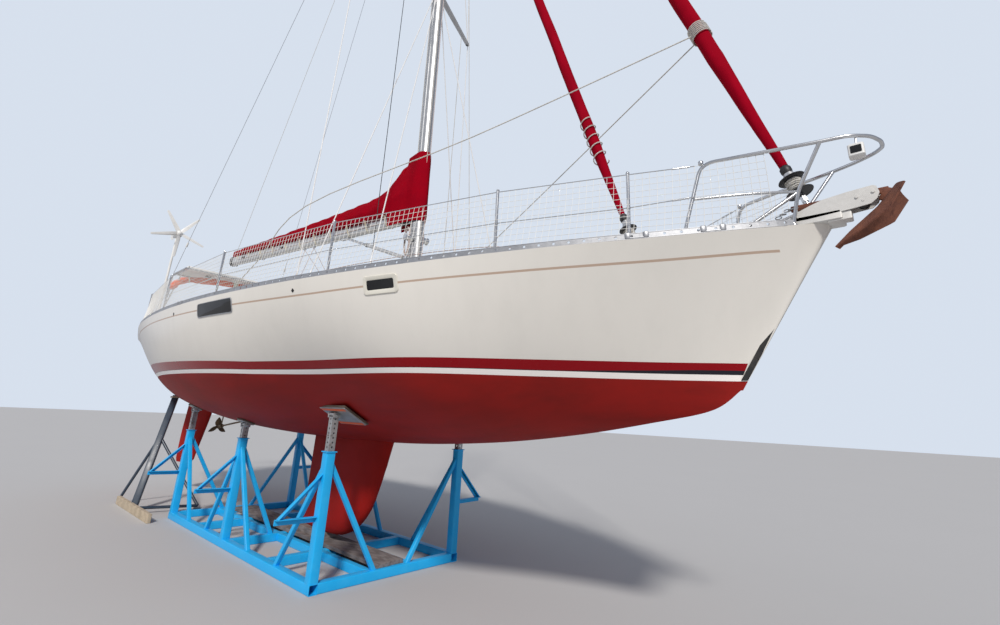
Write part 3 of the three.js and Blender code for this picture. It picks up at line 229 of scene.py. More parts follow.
class Form:
    """Points and faces gathered for one piece; each face keeps a mark for its material."""

    def __init__(self):
        self.points, self.faces, self.marks, self.uvs = [], [], [], []

    def shell(self, rings, mark=0, caps=True, closed=True):
        start, count = len(self.points), len(rings[0])
        run = 0.0
        runs = [0.0]
        for a, b in zip(rings, rings[1:]):
            run += (Vector(b[0]) - Vector(a[0])).length
            runs.append(run)
        for ring in rings:
            self.points.extend(Vector(p) for p in ring)
        for i in range(len(rings) - 1):
            for j in range(count if closed else count - 1):
                k = (j + 1) % count
                a, b = start + i * count, start + (i + 1) * count
                self.faces.append((a + j, a + k, b + k, b + j))
                self.marks.append(mark)
                u, v = j / count, (j + 1) / count
                self.uvs.append(((runs[i], u), (runs[i], v), (runs[i + 1], v), (runs[i + 1], u)))
        if caps and closed:
            for base, order in ((start, -1), (start + (len(rings) - 1) * count, 1)):
                self.faces.append(tuple(base + j for j in range(count))[::order])
                self.marks.append(mark)
                self.uvs.append(tuple((0.0, 0.0) for _ in range(count)))
        return self

    def sweep(self, path, ring, mark=0, up=None, scales=None, caps=True):
        """A section carried along a path without twist."""
        path = [Vector(p) for p in path]
        ways = [(b - a).normalized() for a, b in zip(path, path[1:])]
        hint = Vector(up) if up is not None else (UP if abs(ways[0].z) < 0.9 else Vector((1, 0, 0)))
        side = hint.cross(ways[0]).normalized()
        rings = []
        for i, point in enumerate(path):
            way = ways[min(i, len(ways) - 1)]
            mean = (way + ways[max(0, i - 1)]).normalized() if i else way
            side = (side - mean * side.dot(mean)).normalized()
            top = mean.cross(side)
            scale = scales[i] if scales else 1.0
            rings.append([point + (side * x + top * y) * scale for x, y in ring])
        return self.shell(rings, mark, caps)

    def tube(self, path, radius, mark=0, sides=10, scales=None):
        return self.sweep(path, circle(radius, sides), mark, scales=scales)

    def rod(self, a, b, radius, mark=0, sides=16, top=None):
        a, b = Vector(a), Vector(b)
        ease = min(0.12 * radius, 0.2 * (b - a).length)
        top = radius if top is None else top
        way = (b - a).normalized() * ease
        path = [a, a + way, b - way, b]
        sizes = [radius - ease, radius, top, top - ease]
        return self.sweep(path, circle(1.0, sides), mark, scales=sizes)

    def bar(self, a, b, wide, high, mark=0, corner=0.006, up=None):
        """A straight box section with rounded edges and eased ends."""
        a, b = Vector(a), Vector(b)
        way = (b - a).normalized() * min(corner * 0.5, 0.1 * (b - a).length)
        trim = 1 - corner * 0.6 / min(wide, high)
        return self.sweep([a, a + way, b - way, b], rounded_ring(wide, high, corner), mark, up,
                          scales=[trim, 1, 1, trim])

    def slab(self, low, high, mark=0, corner=0.006):
        low, high = Vector(low), Vector(high)
        size, middle = high - low, (low + high) / 2
        corner = min(corner, size.x * 0.4, size.y * 0.4)
        ease = min(corner, size.z * 0.3) * 0.5
        rings = []
        for z, grow in ((low.z, -ease), (low.z + ease, 0), (high.z - ease, 0), (high.z, -ease)):
            rings.append([(middle.x + x, middle.y + y, z)
                          for x, y in rounded_ring(size.x + 2 * grow, size.y + 2 * grow, corner)])
        return self.shell(rings, mark)

    def lathe(self, centre, axis, profile, mark=0, sides=24):
        """A turned shape; the profile gives distance along the axis and radius."""
        centre, axis = Vector(centre), Vector(axis).normalized()
        path = [centre + axis * along for along, _ in profile]
        hint = UP if abs(axis.z) < 0.9 else Vector((1, 0, 0))
        side = hint.cross(axis).normalized()
        top = axis.cross(side)
        rings = [[point + (side * x + top * y) * max(radius, 1e-4) for x, y in circle(1.0, sides)]
                 for point, (_, radius) in zip(path, profile)]
        return self.shell(rings, mark)

    def plate(self, outline, place, thick, mark=0):
        """A flat outline given thickness; place turns its x, y and depth into the frame."""
        rings = [[place @ Vector((x, y, depth)) for x, y in outline] for depth in (0.0, thick)]
        return self.shell(rings, mark)

    def ball(self, centre, radius, mark=0, sides=12):
        profile = [(-radius * cos(pi * k / 6), radius * sin(pi * k / 6)) for k in range(7)]
        return self.lathe(centre, UP, profile, mark, sides)

    def build(self, name, materials, sharp=38):
        mesh = bpy.data.meshes.new(name)
        mesh.from_pydata([tuple(p) for p in self.points], [], self.faces)
        for material in materials:
            mesh.materials.append(material)
        mesh.polygons.foreach_set("material_index", self.marks)
        layer = mesh.uv_layers.new(name="Length")
        layer.data.foreach_set("uv", [c for face in self.uvs for pair in face for c in pair])
        work = turned_out(mesh, JOIN)
        work.to_mesh(mesh)
        work.free()
        soften(mesh, sharp)
        return linked(name, mesh)

    def piece(self, name, finishes, body=ASHORE, slot=None, replaces=(), sharp=38):
        """Builds the piece, with a finish for each mark, and hands it to the frame."""
        made = self.build(name, [finish(word) for word in finishes.split()], sharp)
        settle(made, body, replaces)


def linked(name, data):
    made = bpy.data.objects.new(name, data)
    bpy.context.scene.collection.objects.link(made)
    return made


def turned_out(mesh, join=None):
    """A working copy of a mesh, its doubles merged where join is given and its faces turned outwards."""
    work = bmesh.new()
    work.from_mesh(mesh)
    if join:
        bmesh.ops.remove_doubles(work, verts=work.verts, dist=join)
    bmesh.ops.recalc_face_normals(work, faces=work.faces)
    return work


def soften(mesh, sharp=38):
    mesh.polygons.foreach_set("use_smooth", [True] * len(mesh.polygons))
    mesh.set_sharp_from_angle(angle=radians(sharp))
    mesh.update()


def settle(piece, body=ASHORE, replaces=()):
    """Hands a finished piece to the frame."""
    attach(piece, body)
    if replaces:
        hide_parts(*replaces)


def evaluated_copy(piece):
    """The piece with its modifiers made plain mesh."""
    graph = bpy.context.evaluated_depsgraph_get()
    mesh = bpy.data.meshes.new_from_object(piece.evaluated_get(graph))
    piece.modifiers.clear()
    piece.data = mesh
    return piece


def carve(piece, cutters):
    """Cuts closed shapes out of a closed piece."""
    for i, cutter in enumerate(cutters):
        cut = piece.modifiers.new(f"Cut {i}", "BOOLEAN")
        cut.operation = "DIFFERENCE"
        cut.solver = "MANIFOLD"
        cut.object = cutter
    evaluated_copy(piece)
    for cutter in cutters:
        bpy.data.objects.remove(cutter)


def cutter(low, high, corner=0.03):
    return Form().slab(low, high, corner=corner).build("cutter", [])


# Node work


class Graph:
    """Short calls that add nodes to a tree and join them."""

    def __init__(self, tree):
        self.tree = tree

    def node(self, kind, inputs=(), **settings):
        made = self.tree.nodes.new(kind)
        for key, value in settings.items():
            setattr(made, key, value)
        for key, value in dict(inputs).items():
            self.feed(made.inputs[key], value)
        return made

    def feed(self, socket, value):
        if isinstance(value, bpy.types.NodeSocket):
            self.tree.links.new(value, socket)
        elif isinstance(value, bpy.types.Node):
            self.tree.links.new(value.outputs[0], socket)
        elif value is not None:
            if socket.type == "RGBA" and len(value) == 3:
                value = (*value, 1.0)
            socket.default_value = value

    def math(self, operation, a, b=0.0):
        return self.node("ShaderNodeMath", {0: a, 1: b, 2: 0.0}, operation=operation).outputs[0]

    def plus(self, a, b):
        return self.math("ADD", a, b)

    def minus(self, a, b):
        return self.math("SUBTRACT", a, b)

    def times(self, a, b):
        return self.math("MULTIPLY", a, b)

    def mix(self, share, a, b):
        made = self.node("ShaderNodeMix", data_type="RGBA", blend_type="MIX")
        self.feed(made.inputs[0], share)
        self.feed(made.inputs[6], a)
        self.feed(made.inputs[7], b)
        return made.outputs[2]

    def noise(self, where, scale, detail=3.0, rough=0.55, stretch=None):
        if stretch:
            where = self.node("ShaderNodeMapping", {"Vector": where, "Scale": stretch}).outputs[0]
        return self.node("ShaderNodeTexNoise",
                         {"Vector": where, "Scale": scale, "Detail": detail, "Roughness": rough}).outputs["Fac"]

    def spread(self, value, low, high, to_low=0.0, to_high=1.0):
        return self.node("ShaderNodeMapRange", {0: value, 1: low, 2: high, 3: to_low, 4: to_high}).outputs[0]

    def place(self):
        return self.node("ShaderNodeTexCoord").outputs["Object"]

    def split(self, vector):
        return self.node("ShaderNodeSeparateXYZ", {0: vector}).outputs


def new_tree(name, tree_kind, given, made):
    """A node tree with named sockets; each has its default, or its kind as a word."""
    tree = bpy.data.node_groups.new(name, tree_kind)
    for way, sockets in (("INPUT", given), ("OUTPUT", made)):
        for title, value in sockets.items():
            kind = value
            if not isinstance(value, str):
                kind = "Float" if isinstance(value, float) else {3: "Vector", 4: "Color"}[len(value)]
            socket = tree.interface.new_socket(name=title, in_out=way, socket_type="NodeSocket" + kind)
            if kind != value:
                socket.default_value = value
    graph = Graph(tree)
    return graph, graph.node("NodeGroupInput").outputs, graph.node("NodeGroupOutput").inputs


def shared_group(name, given, make, made=("Colour", "Roughness", "Height")):
    """A shader node group that several materials use."""
    kinds = {title: "Color" if title == "Colour" else "Float" for title in made}
    graph, inputs, outputs = new_tree(name, "ShaderNodeTree", given, kinds)
    make(graph, inputs, outputs)
    return graph.tree


def weathered_group():
    """Large soft stains and small specks over a colour."""
    def make(g, given, out):
        where = g.place()
        cloud = g.noise(where, g.times(given["Scale"], 1.0), 5.0, 0.6)
        speck = g.noise(where, g.times(given["Scale"], 34.0), 2.0, 0.5)
        stain = g.spread(cloud, 0.45, 0.75)
        share = g.times(stain, given["Amount"])
        dots = g.times(g.spread(speck, 0.62, 0.72), given["Amount"])
        colour = g.mix(share, given["Colour"], given["Stain"])
        colour = g.mix(g.times(dots, 0.5), colour, given["Stain"])
        g.feed(out["Colour"], colour)
        g.feed(out["Roughness"], g.plus(given["Roughness"], g.times(g.minus(cloud, 0.5), 0.35)))
        g.feed(out["Height"], g.plus(g.times(cloud, 0.6), g.times(speck, 0.4)))
    return shared_group("Weathered surface",
                        {"Colour": (0.8, 0.8, 0.8, 1), "Stain": (0.2, 0.18, 0.15, 1), "Roughness": 0.5, "Scale": 2.0,
                         "Amount": 0.3}, make)


def weave_group():
    """Crossed threads of a cloth, with a little colour change from thread to thread."""
    def make(g, given, out):
        x, y, z = g.split(g.place())
        turn = g.math("DIVIDE", 6.2832, given["Thread"])
        slant = g.plus(x, g.times(y, 0.7))
        warp = g.math("SINE", g.times(slant, turn))
        weft = g.math("SINE", g.times(g.plus(z, g.times(y, 0.35)), turn))
        cross = g.times(warp, weft)
        cloud = g.noise(g.place(), 3.0, 4.0, 0.6)
        shade = g.plus(g.times(cross, 0.06), g.times(cloud, 0.5))
        g.feed(out["Colour"], g.mix(g.spread(shade, 0.1, 0.45), given["Shade"], given["Colour"]))
        g.feed(out["Height"], g.plus(g.times(cross, 0.4), cloud))
    return shared_group("Woven cloth", {"Colour": (0.5, 0.0, 0.03, 1), "Shade": (0.3, 0.0, 0.02, 1), "Thread": 0.003},
                        make, ("Colour", "Height"))


def scuffed_group():
    """Enamel worn through in small chips, more of them near the floor."""
    def make(g, given, out):
        where = g.place()
        z = g.split(where)[2]
        chip = g.noise(where, 26.0, 6.0, 0.7)
        patch = g.noise(where, 3.2, 3.0, 0.6)
        low = g.spread(z, 0.0, 1.5, 0.05, -0.03)
        worn = g.spread(g.plus(g.plus(chip, g.times(patch, 0.35)), low), given["Threshold"],
                        g.plus(given["Threshold"], 0.03))
        dust = g.spread(g.noise(where, 7.0, 5.0, 0.65), 0.42, 0.75, 0.0, 0.35)
        colour = g.mix(dust, given["Paint"], given["Dust"])
        g.feed(out["Colour"], g.mix(worn, colour, given["Bare"]))
        g.feed(out["Roughness"], g.plus(0.34, g.times(g.plus(worn, dust), 0.4)))
        g.feed(out["Height"], g.minus(g.times(patch, 0.3), worn))
    return shared_group("Scuffed enamel",
                        {"Paint": (0.0, 0.2, 0.6, 1), "Dust": (0.3, 0.4, 0.5, 1), "Bare": (0.1, 0.07, 0.05, 1),
                         "Threshold": 0.84}, make)


def drawn_group():
    """Fine lines along a drawn or rolled metal, with dull smudges."""
    def make(g, given, out):
        where = g.place()
        line = g.node("ShaderNodeMapping", {"Vector": where, "Scale": given["Grain"]}).outputs[0]
        grain = g.noise(line, 1.0, 3.0, 0.6)
        smudge = g.noise(where, 5.0, 4.0, 0.6)
        g.feed(out["Colour"], g.mix(g.spread(g.plus(g.times(grain, 0.5), g.times(smudge, 0.5)), 0.3, 0.7),
                                    given["Shade"], given["Colour"]))
        g.feed(out["Roughness"], g.plus(given["Roughness"], g.times(smudge, 0.16)))
        g.feed(out["Height"], grain)
    return shared_group("Drawn metal",
                        {"Colour": (0.6, 0.6, 0.6, 1), "Shade": (0.4, 0.4, 0.4, 1), "Roughness": 0.25,
                         "Grain": (60.0, 60.0, 2.0)}, make)


def new_material(name, make, **plain):
    """A material whose Principled sockets are fed by make, and set by plain values."""
    material = bpy.data.materials.new(name)
    material.use_nodes = True
    graph = Graph(material.node_tree)
    shader = material.node_tree.nodes["Principled BSDF"]
    for key, value in plain.items():
        graph.feed(shader.inputs[key.replace("_", " ")], value)
    for key, value in make(graph).items():
        if key == "Height":
            height, strength, distance = value
            bump = graph.node("ShaderNodeBump", {"Height": height, "Strength": strength, "Distance": distance})
            graph.feed(shader.inputs["Normal"], bump)
        else:
            graph.feed(shader.inputs[key], value)
    return material


def grouped(group, inputs, strength, distance, name, **plain):
    """A material that takes its colour, roughness and relief from one shared group."""
    def make(g):
        made = g.node("ShaderNodeGroup", node_tree=group)
        for key, value in inputs.items():
            g.feed(made.inputs[key], value)
        fed = {"Base Color": made.outputs["Colour"], "Height": (made.outputs["Height"], strength, distance)}
        if "Roughness" in made.outputs:
            fed["Roughness"] = made.outputs["Roughness"]
        return fed
    return new_material(name, make, **plain)


def hull_finish(colours):
    """Gelcoat with the boot stripes at their heights, antifouling below, a tan line under the sheer."""
    def make(g):
        where = g.place()
        x, _, z = g.split(where)
        z = g.minus(z, g.spread(x, 1.0, -3.0, 0.0, 0.06))
        under = g.node("ShaderNodeAttribute", attribute_name="below_sheer").outputs["Fac"]

        def above(level):
            return g.math("GREATER_THAN", z, level)

        streak = g.noise(where, 1.0, 4.0, 0.6, stretch=(5.0, 5.0, 0.6))
        gel = g.mix(g.spread(streak, 0.45, 0.85, 0.0, 0.35), colours.gelcoat, colours.gelcoat_shade)
        off = g.minus(under, g.spread(x, 2.4, -1.7, *COVE_BELOW_SHEER))
        inside = g.math("LESS_THAN", g.math("ABSOLUTE", off), COVE_HALF)
        ahead = g.times(g.math("LESS_THAN", x, COVE_END), inside)
        gel = g.mix(ahead, gel, colours.cove)
        wide = g.spread(x, 1.0, -3.0, *STRIPE_TOP)
        forward = g.math("LESS_THAN", g.minus(x, g.times(g.minus(z, 2.15), 0.5)), 5.64)
        stripe = g.times(g.math("LESS_THAN", z, wide), forward)
        top = g.mix(stripe, gel, colours.stripe)
        dark_top = g.spread(x, 4.44, 5.35, *DARK_TOP)
        top = g.mix(g.times(g.math("LESS_THAN", z, dark_top), stripe), top, colours.charcoal)
        white = g.mix(above(WHITE_TOP), colours.white_stripe, top)
        cloud = g.noise(where, 1.3, 5.0, 0.62)
        drag = g.noise(where, 1.0, 5.0, 0.65, stretch=(1.2, 6.0, 9.0))
        chalk = g.spread(g.plus(g.times(cloud, 0.6), g.times(drag, 0.4)), 0.4, 0.68)
        foul = g.mix(chalk, colours.antifouling, colours.antifouling_shade)
        upper = above(ANTIFOULING_TOP)
        colour = g.mix(upper, foul, white)
        rough = g.mix(upper, (0.62, 0.62, 0.62), (0.22, 0.22, 0.22))
        fine = g.noise(where, 240.0, 2.0, 0.5)
        height = g.times(g.minus(1.0, upper), g.plus(fine, g.times(drag, 2.0)))
        return {"Base Color": colour, "Roughness": g.node("ShaderNodeRGBToBW", {0: rough}).outputs[0],
                "Height": (height, 0.25, 0.002)}
    return new_material("hull gelcoat and antifouling", make, Specular_IOR_Level=0.18)


def deck_finish(colours):
    """Cream gelcoat with moulded grip on what faces up."""
    def make(g):
        where = g.place()
        x, y, _ = g.split(where)
        up = g.split(g.node("ShaderNodeNewGeometry").outputs["Normal"])[2]
        flat = g.spread(up, 0.9, 0.97)
        a = g.math("SINE", g.times(g.plus(x, y), 900.0))
        b = g.math("SINE", g.times(g.minus(x, y), 900.0))
        grip = g.times(g.times(a, b), flat)
        dirt = g.spread(g.noise(where, 2.4, 6.0, 0.65), 0.42, 0.8, 0.0, 0.4)
        colour = g.mix(dirt, colours.deck, colours.deck_dirt)
        colour = g.mix(g.times(flat, 0.28), colour, colours.grip)
        return {"Base Color": colour, "Roughness": g.spread(dirt, 0.0, 0.4, 0.42, 0.62), "Height": (grip, 0.3, 0.0012)}
    return new_material("deck gelcoat with grip", make)


def rope_finish(name, colour, fleck):
    """Braided rope: strands cross as they run along."""
    def make(g):
        uv = g.node("ShaderNodeUVMap", uv_map="Length").outputs[0]
        u, v, _ = g.split(uv)
        a = g.math("SINE", g.plus(g.times(u, 700.0), g.times(v, 25.13)))
        b = g.math("SINE", g.minus(g.times(u, 700.0), g.times(v, 25.13)))
        braid = g.times(a, b)
        mark = g.times(g.spread(g.math("SINE", g.times(u, 180.0)), 0.7, 0.9), g.spread(a, 0.0, 0.6))
        grime = g.spread(g.noise(g.place(), 9.0, 4.0), 0.4, 0.7, 0.0, 0.35)
        return {"Base Color": g.mix(mark, g.mix(grime, colour, tuple(c * 0.5 for c in colour)), fleck),
                "Height": (braid, 0.5, 0.001)}
    return new_material(name, make, Roughness=0.85)


def solar_finish(colours):
    """Dark cells in rows with thin pale lines between them."""
    def make(g):
        x, y, _ = g.split(g.place())
        lines = []
        for value, pitch, shift in ((x, 0.158, 0.11), (y, 0.158, 0.02)):
            cell = g.math("ABSOLUTE",
                          g.minus(g.math("FRACT", g.math("DIVIDE", g.plus(value, 30.0 + shift), pitch)), 0.5))
            lines.append(g.math("GREATER_THAN", cell, 0.487))
        bus = g.math("GREATER_THAN",
                     g.math("ABSOLUTE", g.minus(g.math("FRACT", g.math("DIVIDE", g.plus(y, 30.0), 0.0526)), 0.5)),
                     0.488)
        tint = g.noise(g.place(), 3.0, 2.0)
        dark = g.mix(tint, colours.cell, tuple(c * 0.5 for c in colours.cell))
        dark = g.mix(g.times(bus, 0.6), dark, (0.3, 0.31, 0.33))
        return {"Base Color": g.mix(g.math("MAXIMUM", *lines), dark, (0.45, 0.46, 0.48))}
    return new_material("solar cells", make, Roughness=0.18)


def timber_finish(name, colour, shade):
    def make(g):
        where = g.place()
        grain = g.noise(where, 1.0, 6.0, 0.65, stretch=(3.0, 70.0, 70.0))
        ring = g.node("ShaderNodeTexWave",
                      {"Vector": g.node("ShaderNodeMapping", {"Vector": where, "Scale": (0.6, 9.0, 9.0)}).outputs[0],
                       "Scale": 2.0, "Distortion": 7.0, "Detail": 3.0}).outputs["Fac"]
        share = g.plus(g.times(grain, 0.6), g.times(ring, 0.4))
        wet = g.spread(g.noise(where, 2.5, 4.0), 0.45, 0.7, 0.0, 0.4)
        return {"Base Color": g.mix(wet, g.mix(share, shade, colour), tuple(c * 0.45 for c in shade)),
                "Height": (share, 0.5, 0.004)}
    return new_material(name, make, Roughness=0.86)


def rust_finish(colours):
    def make(g):
        where = g.place()
        cloud = g.noise(where, 9.0, 8.0, 0.7)
        fine = g.noise(where, 60.0, 4.0, 0.7)
        share = g.spread(g.plus(g.times(cloud, 0.7), g.times(fine, 0.3)), 0.35, 0.65)
        return {"Base Color": g.mix(share, colours.rust_dark, colours.rust), "Height": (fine, 0.7, 0.003),
                "Metallic": g.spread(share, 0.0, 0.3, 0.5, 0.0)}
    return new_material("rusty galvanising", make, Roughness=0.85)


FINISHES = {}


def finish(name):
    """A material by its short name."""
    return FINISHES[name]


def mix_finishes(colours):
    """Makes every material that the pieces use."""
    groups = {"aged": weathered_group(), "cloth": weave_group(), "paint": scuffed_group(), "metal": drawn_group()}

    def aged(name, colour, stain, roughness, scale, amount, bump, deep, **plain):
        return grouped(groups["aged"],
                       {"Colour": colour, "Stain": stain, "Roughness": roughness, "Scale": scale, "Amount": amount},
                       bump, deep, name, **plain)

    def cloth(name, colour, shade, thread, bump, deep, **plain):
        return grouped(groups["cloth"], {"Colour": colour, "Shade": shade, "Thread": thread}, bump, deep, name, **plain)

    def paint(name, coat, dust, bare, threshold, bump, deep, **plain):
        return grouped(groups["paint"], {"Paint": coat, "Dust": dust, "Bare": bare, "Threshold": threshold}, bump,
                       deep, name, **plain)

    def metal(name, colour, shade, roughness, grain, bump, deep, metallic):
        return grouped(groups["metal"], {"Colour": colour, "Shade": shade, "Roughness": roughness, "Grain": grain},
                       bump, deep, name, Metallic=metallic)

    FINISHES.update({
        "hull": hull_finish(colours),
        "deck": deck_finish(colours),
        "antifouling": aged("antifouling on the foils", colours.antifouling, colours.antifouling_shade, 0.66, 1.6, 0.9,
                            0.25, 0.003, Specular_IOR_Level=0.12),
        "aluminium": metal("anodised mast aluminium", (0.62, 0.63, 0.64), (0.42, 0.43, 0.44), 0.3, (90.0, 90.0, 1.5),
                           0.08, 0.001, 0.85),
        "rail": metal("anodised rail aluminium", (0.47, 0.48, 0.5), (0.3, 0.31, 0.33), 0.36, (2.0, 80.0, 80.0),
                      0.1, 0.001, 0.75),
        "boom": metal("anodised boom aluminium", (0.68, 0.69, 0.69), (0.5, 0.51, 0.52), 0.34, (1.5, 80.0, 80.0),
                      0.08, 0.001, 0.7),
        "stainless": metal("polished stainless steel", (0.72, 0.73, 0.74), (0.56, 0.57, 0.58), 0.12,
                           (30.0, 30.0, 30.0), 0.04, 0.0005, 1.0),
        # Shroud wire: near white with little metal, a painted glint of sun on the stainless wire.
        "glint_white_wire": metal("bright steel wire", (0.9, 0.9, 0.89), (0.76, 0.76, 0.75), 0.35, (60.0, 60.0, 60.0),
                             0.04, 0.0005, 0.2),
        "satin_steel": metal("satin steel plate", (0.74, 0.73, 0.7), (0.62, 0.61, 0.58), 0.42, (30.0, 30.0, 30.0),
                             0.04, 0.0005, 0.3),
        "galvanised": aged("dull galvanised steel", (0.46, 0.47, 0.48), (0.2, 0.19, 0.18), 0.45, 6.0, 0.7,
                           0.2, 0.002, Metallic=0.75),
        "bronze": aged("dull bronze with growth", (0.16, 0.1, 0.05), (0.05, 0.06, 0.05), 0.55, 12.0, 0.8,
                       0.4, 0.003, Metallic=0.6),
        "white": aged("white painted casting", (0.8, 0.8, 0.78), (0.45, 0.44, 0.4), 0.38, 5.0, 0.3, 0.05, 0.001),
        "black": aged("black moulded plastic", (0.018, 0.018, 0.02), (0.07, 0.07, 0.07), 0.5, 8.0, 0.5, 0.1, 0.001),
        "rubber": aged("black rubber", (0.02, 0.02, 0.021), (0.1, 0.09, 0.08), 0.8, 10.0, 0.5, 0.3, 0.002),
        "acrylic": aged("smoked acrylic", (0.012, 0.013, 0.015), (0.05, 0.05, 0.05), 0.06, 3.0, 0.3, 0.02, 0.001,
                        Specular_IOR_Level=0.25),
        "cushion_white": aged("cream frame moulding", (0.72, 0.7, 0.62), (0.45, 0.42, 0.36), 0.45, 4.0, 0.3,
                              0.05, 0.001),
        "crimson": cloth("crimson canvas", colours.cover, colours.cover_shade, 0.004, 0.35, 0.002,
                         Roughness=0.85, Specular_IOR_Level=0.03),
        "sleeve": cloth("crimson sail sleeve", colours.sleeve, colours.cover_shade, 0.004, 0.3, 0.002,
                        Roughness=0.8, Specular_IOR_Level=0.03),
        "orange": cloth("orange canvas", colours.awning, colours.awning_shade, 0.005, 0.6, 0.006,
                        Roughness=0.8, Specular_IOR_Level=0.1),
        "webbing": cloth("cream webbing", (0.74, 0.7, 0.56), (0.55, 0.5, 0.38), 0.004, 0.4, 0.002, Roughness=0.8),
        "net": aged("white netting cord", colours.net, (0.55, 0.55, 0.52), 0.75, 3.0, 0.3, 0.2, 0.001),
        "blue": paint("blue cradle enamel", colours.cradle, colours.cradle_dust, (0.07, 0.045, 0.03), 0.93,
                      0.3, 0.0015, Specular_IOR_Level=0.3),
        "grey_paint": paint("grey stand paint", (0.035, 0.055, 0.085), (0.09, 0.1, 0.12), (0.08, 0.05, 0.04), 0.9,
                            0.3, 0.0015),
        "hazard": paint("orange pad strip", (0.85, 0.12, 0.02), (0.5, 0.25, 0.15), (0.2, 0.1, 0.05), 0.9, 0.2, 0.001),
        "solar": solar_finish(colours),
        "timber": timber_finish("weathered timber", (0.27, 0.24, 0.235), (0.085, 0.07, 0.066)),
        "plywood": timber_finish("plywood pad", (0.2, 0.15, 0.11), (0.09, 0.065, 0.05)),
        "pale_timber": timber_finish("pale sawn timber", (0.55, 0.46, 0.34), (0.38, 0.31, 0.22)),
        "rust": rust_finish(colours),
        "rope": rope_finish("white braided rope", (0.62, 0.6, 0.55), (0.2, 0.22, 0.3)),
        "red_rope": rope_finish("red flecked rope", (0.55, 0.5, 0.47), (0.45, 0.03, 0.04)),
        "black_rope": rope_finish("black braided rope", (0.03, 0.03, 0.035), (0.09, 0.09, 0.1)),
    })


# Settings that a user would change


def colour(title, note, value):
    return FloatVectorProperty(name=title, description=note, subtype="COLOR", size=3, min=0, max=1, default=value)


class YachtColours(bpy.types.PropertyGroup):
    """Colours of the yacht and its cradle."""
    gelcoat: colour("Gelcoat", "Colour of the topsides", (0.78, 0.755, 0.7))
    gelcoat_shade: colour("Gelcoat streaks", "Faint streaks down the topsides", (0.68, 0.66, 0.61))
    white_stripe: colour("White stripe", "Narrow stripe over the antifouling", (0.97, 0.93, 0.89))
    stripe: colour("Stripe", "Boot stripe", (0.27, 0.002, 0.007))
    charcoal: colour("Charcoal", "Dark stripe towards the bow", (0.02, 0.018, 0.026))
    cove: colour("Cove line", "Line under the sheer", (0.5, 0.38, 0.3))
    antifouling: colour("Antifouling", "Colour under water", (0.3, 0.01, 0.007))
    antifouling_shade: colour("Antifouling wear", "Darker patches under water", (0.2, 0.009, 0.007))
    deck: colour("Deck", "Smooth deck mouldings", (0.74, 0.72, 0.66))
    deck_dirt: colour("Deck dirt", "Dust that lies on the deck", (0.5, 0.47, 0.4))
    grip: colour("Grip", "Moulded grip on the deck", (0.66, 0.64, 0.58))
    cover: colour("Sail cover", "Canvas over the stowed sail", (0.33, 0.0006, 0.009))
    sleeve: colour("Sail sleeve", "Strip on the rolled headsails", (0.35, 0.001, 0.014))
    cover_shade: colour("Canvas shade", "Darker threads and faded folds", (0.22, 0.001, 0.009))
    awning: colour("Awning", "Rolled awning at the stern", (0.9, 0.13, 0.02))
    awning_shade: colour("Awning shade", "Folds of the awning", (0.7, 0.08, 0.015))
    net: colour("Net", "Netting under the lifelines", (0.82, 0.82, 0.8))
    cell: colour("Cells", "Solar cells", (0.03, 0.03, 0.045))
    cradle: colour("Cradle", "Blue enamel of the cradle", (0.012, 0.42, 0.86))
    cradle_dust: colour("Cradle dust", "Chalky patches on the enamel", (0.06, 0.52, 0.9))
    rust: colour("Rust", "Anchor", (0.24, 0.085, 0.045))
    rust_dark: colour("Dark rust", "Darker patches of the anchor", (0.1, 0.035, 0.025))
    floor: colour("Floor", "Studio floor", (0.5, 0.5, 0.5))


def length(title, note, value):
    return FloatProperty(name=title, description=note, subtype="DISTANCE", unit="LENGTH", default=value, min=0.0001,
                         max=1.0, precision=4)


class YachtSizes(bpy.types.PropertyGroup):
    """Sizes of the repeated and fitted pieces."""
    net_cell: length("Net cell", "Side of one square of the netting", 0.052)
    net_cord: length("Net cord", "Radius of the netting cord", 0.002)
    net_slack: length("Net slack", "How far the cord wanders", 0.004)
    hole_pitch: length("Rail hole pitch", "Distance between the holes in the toe rail", 0.115)
    tube: length("Rail tube", "Radius of pulpit, pushpit and arch tubes", 0.013)
    wire: length("Wire", "Radius of the standing rigging", 0.005)
    shroud: length("Shroud", "Radius of the shrouds", 0.0075)
    rope: length("Rope", "Radius of sheets and halyards", 0.006)
    hull_stations: IntProperty(name="Hull stations", description="Sections that the hull is drawn with",
                               default=150, min=40, max=400)


# Geometry Nodes trees


def painted_tree(g, shape, given, out):
    """Ends a tree with plain geometry in its material."""
    real = g.node("GeometryNodeRealizeInstances", {"Geometry": shape.outputs[0]})
    painted = g.node("GeometryNodeSetMaterial", {"Geometry": real.outputs[0], "Material": given["Material"]})
    g.feed(out["Geometry"], painted.outputs[0])
    return g.tree


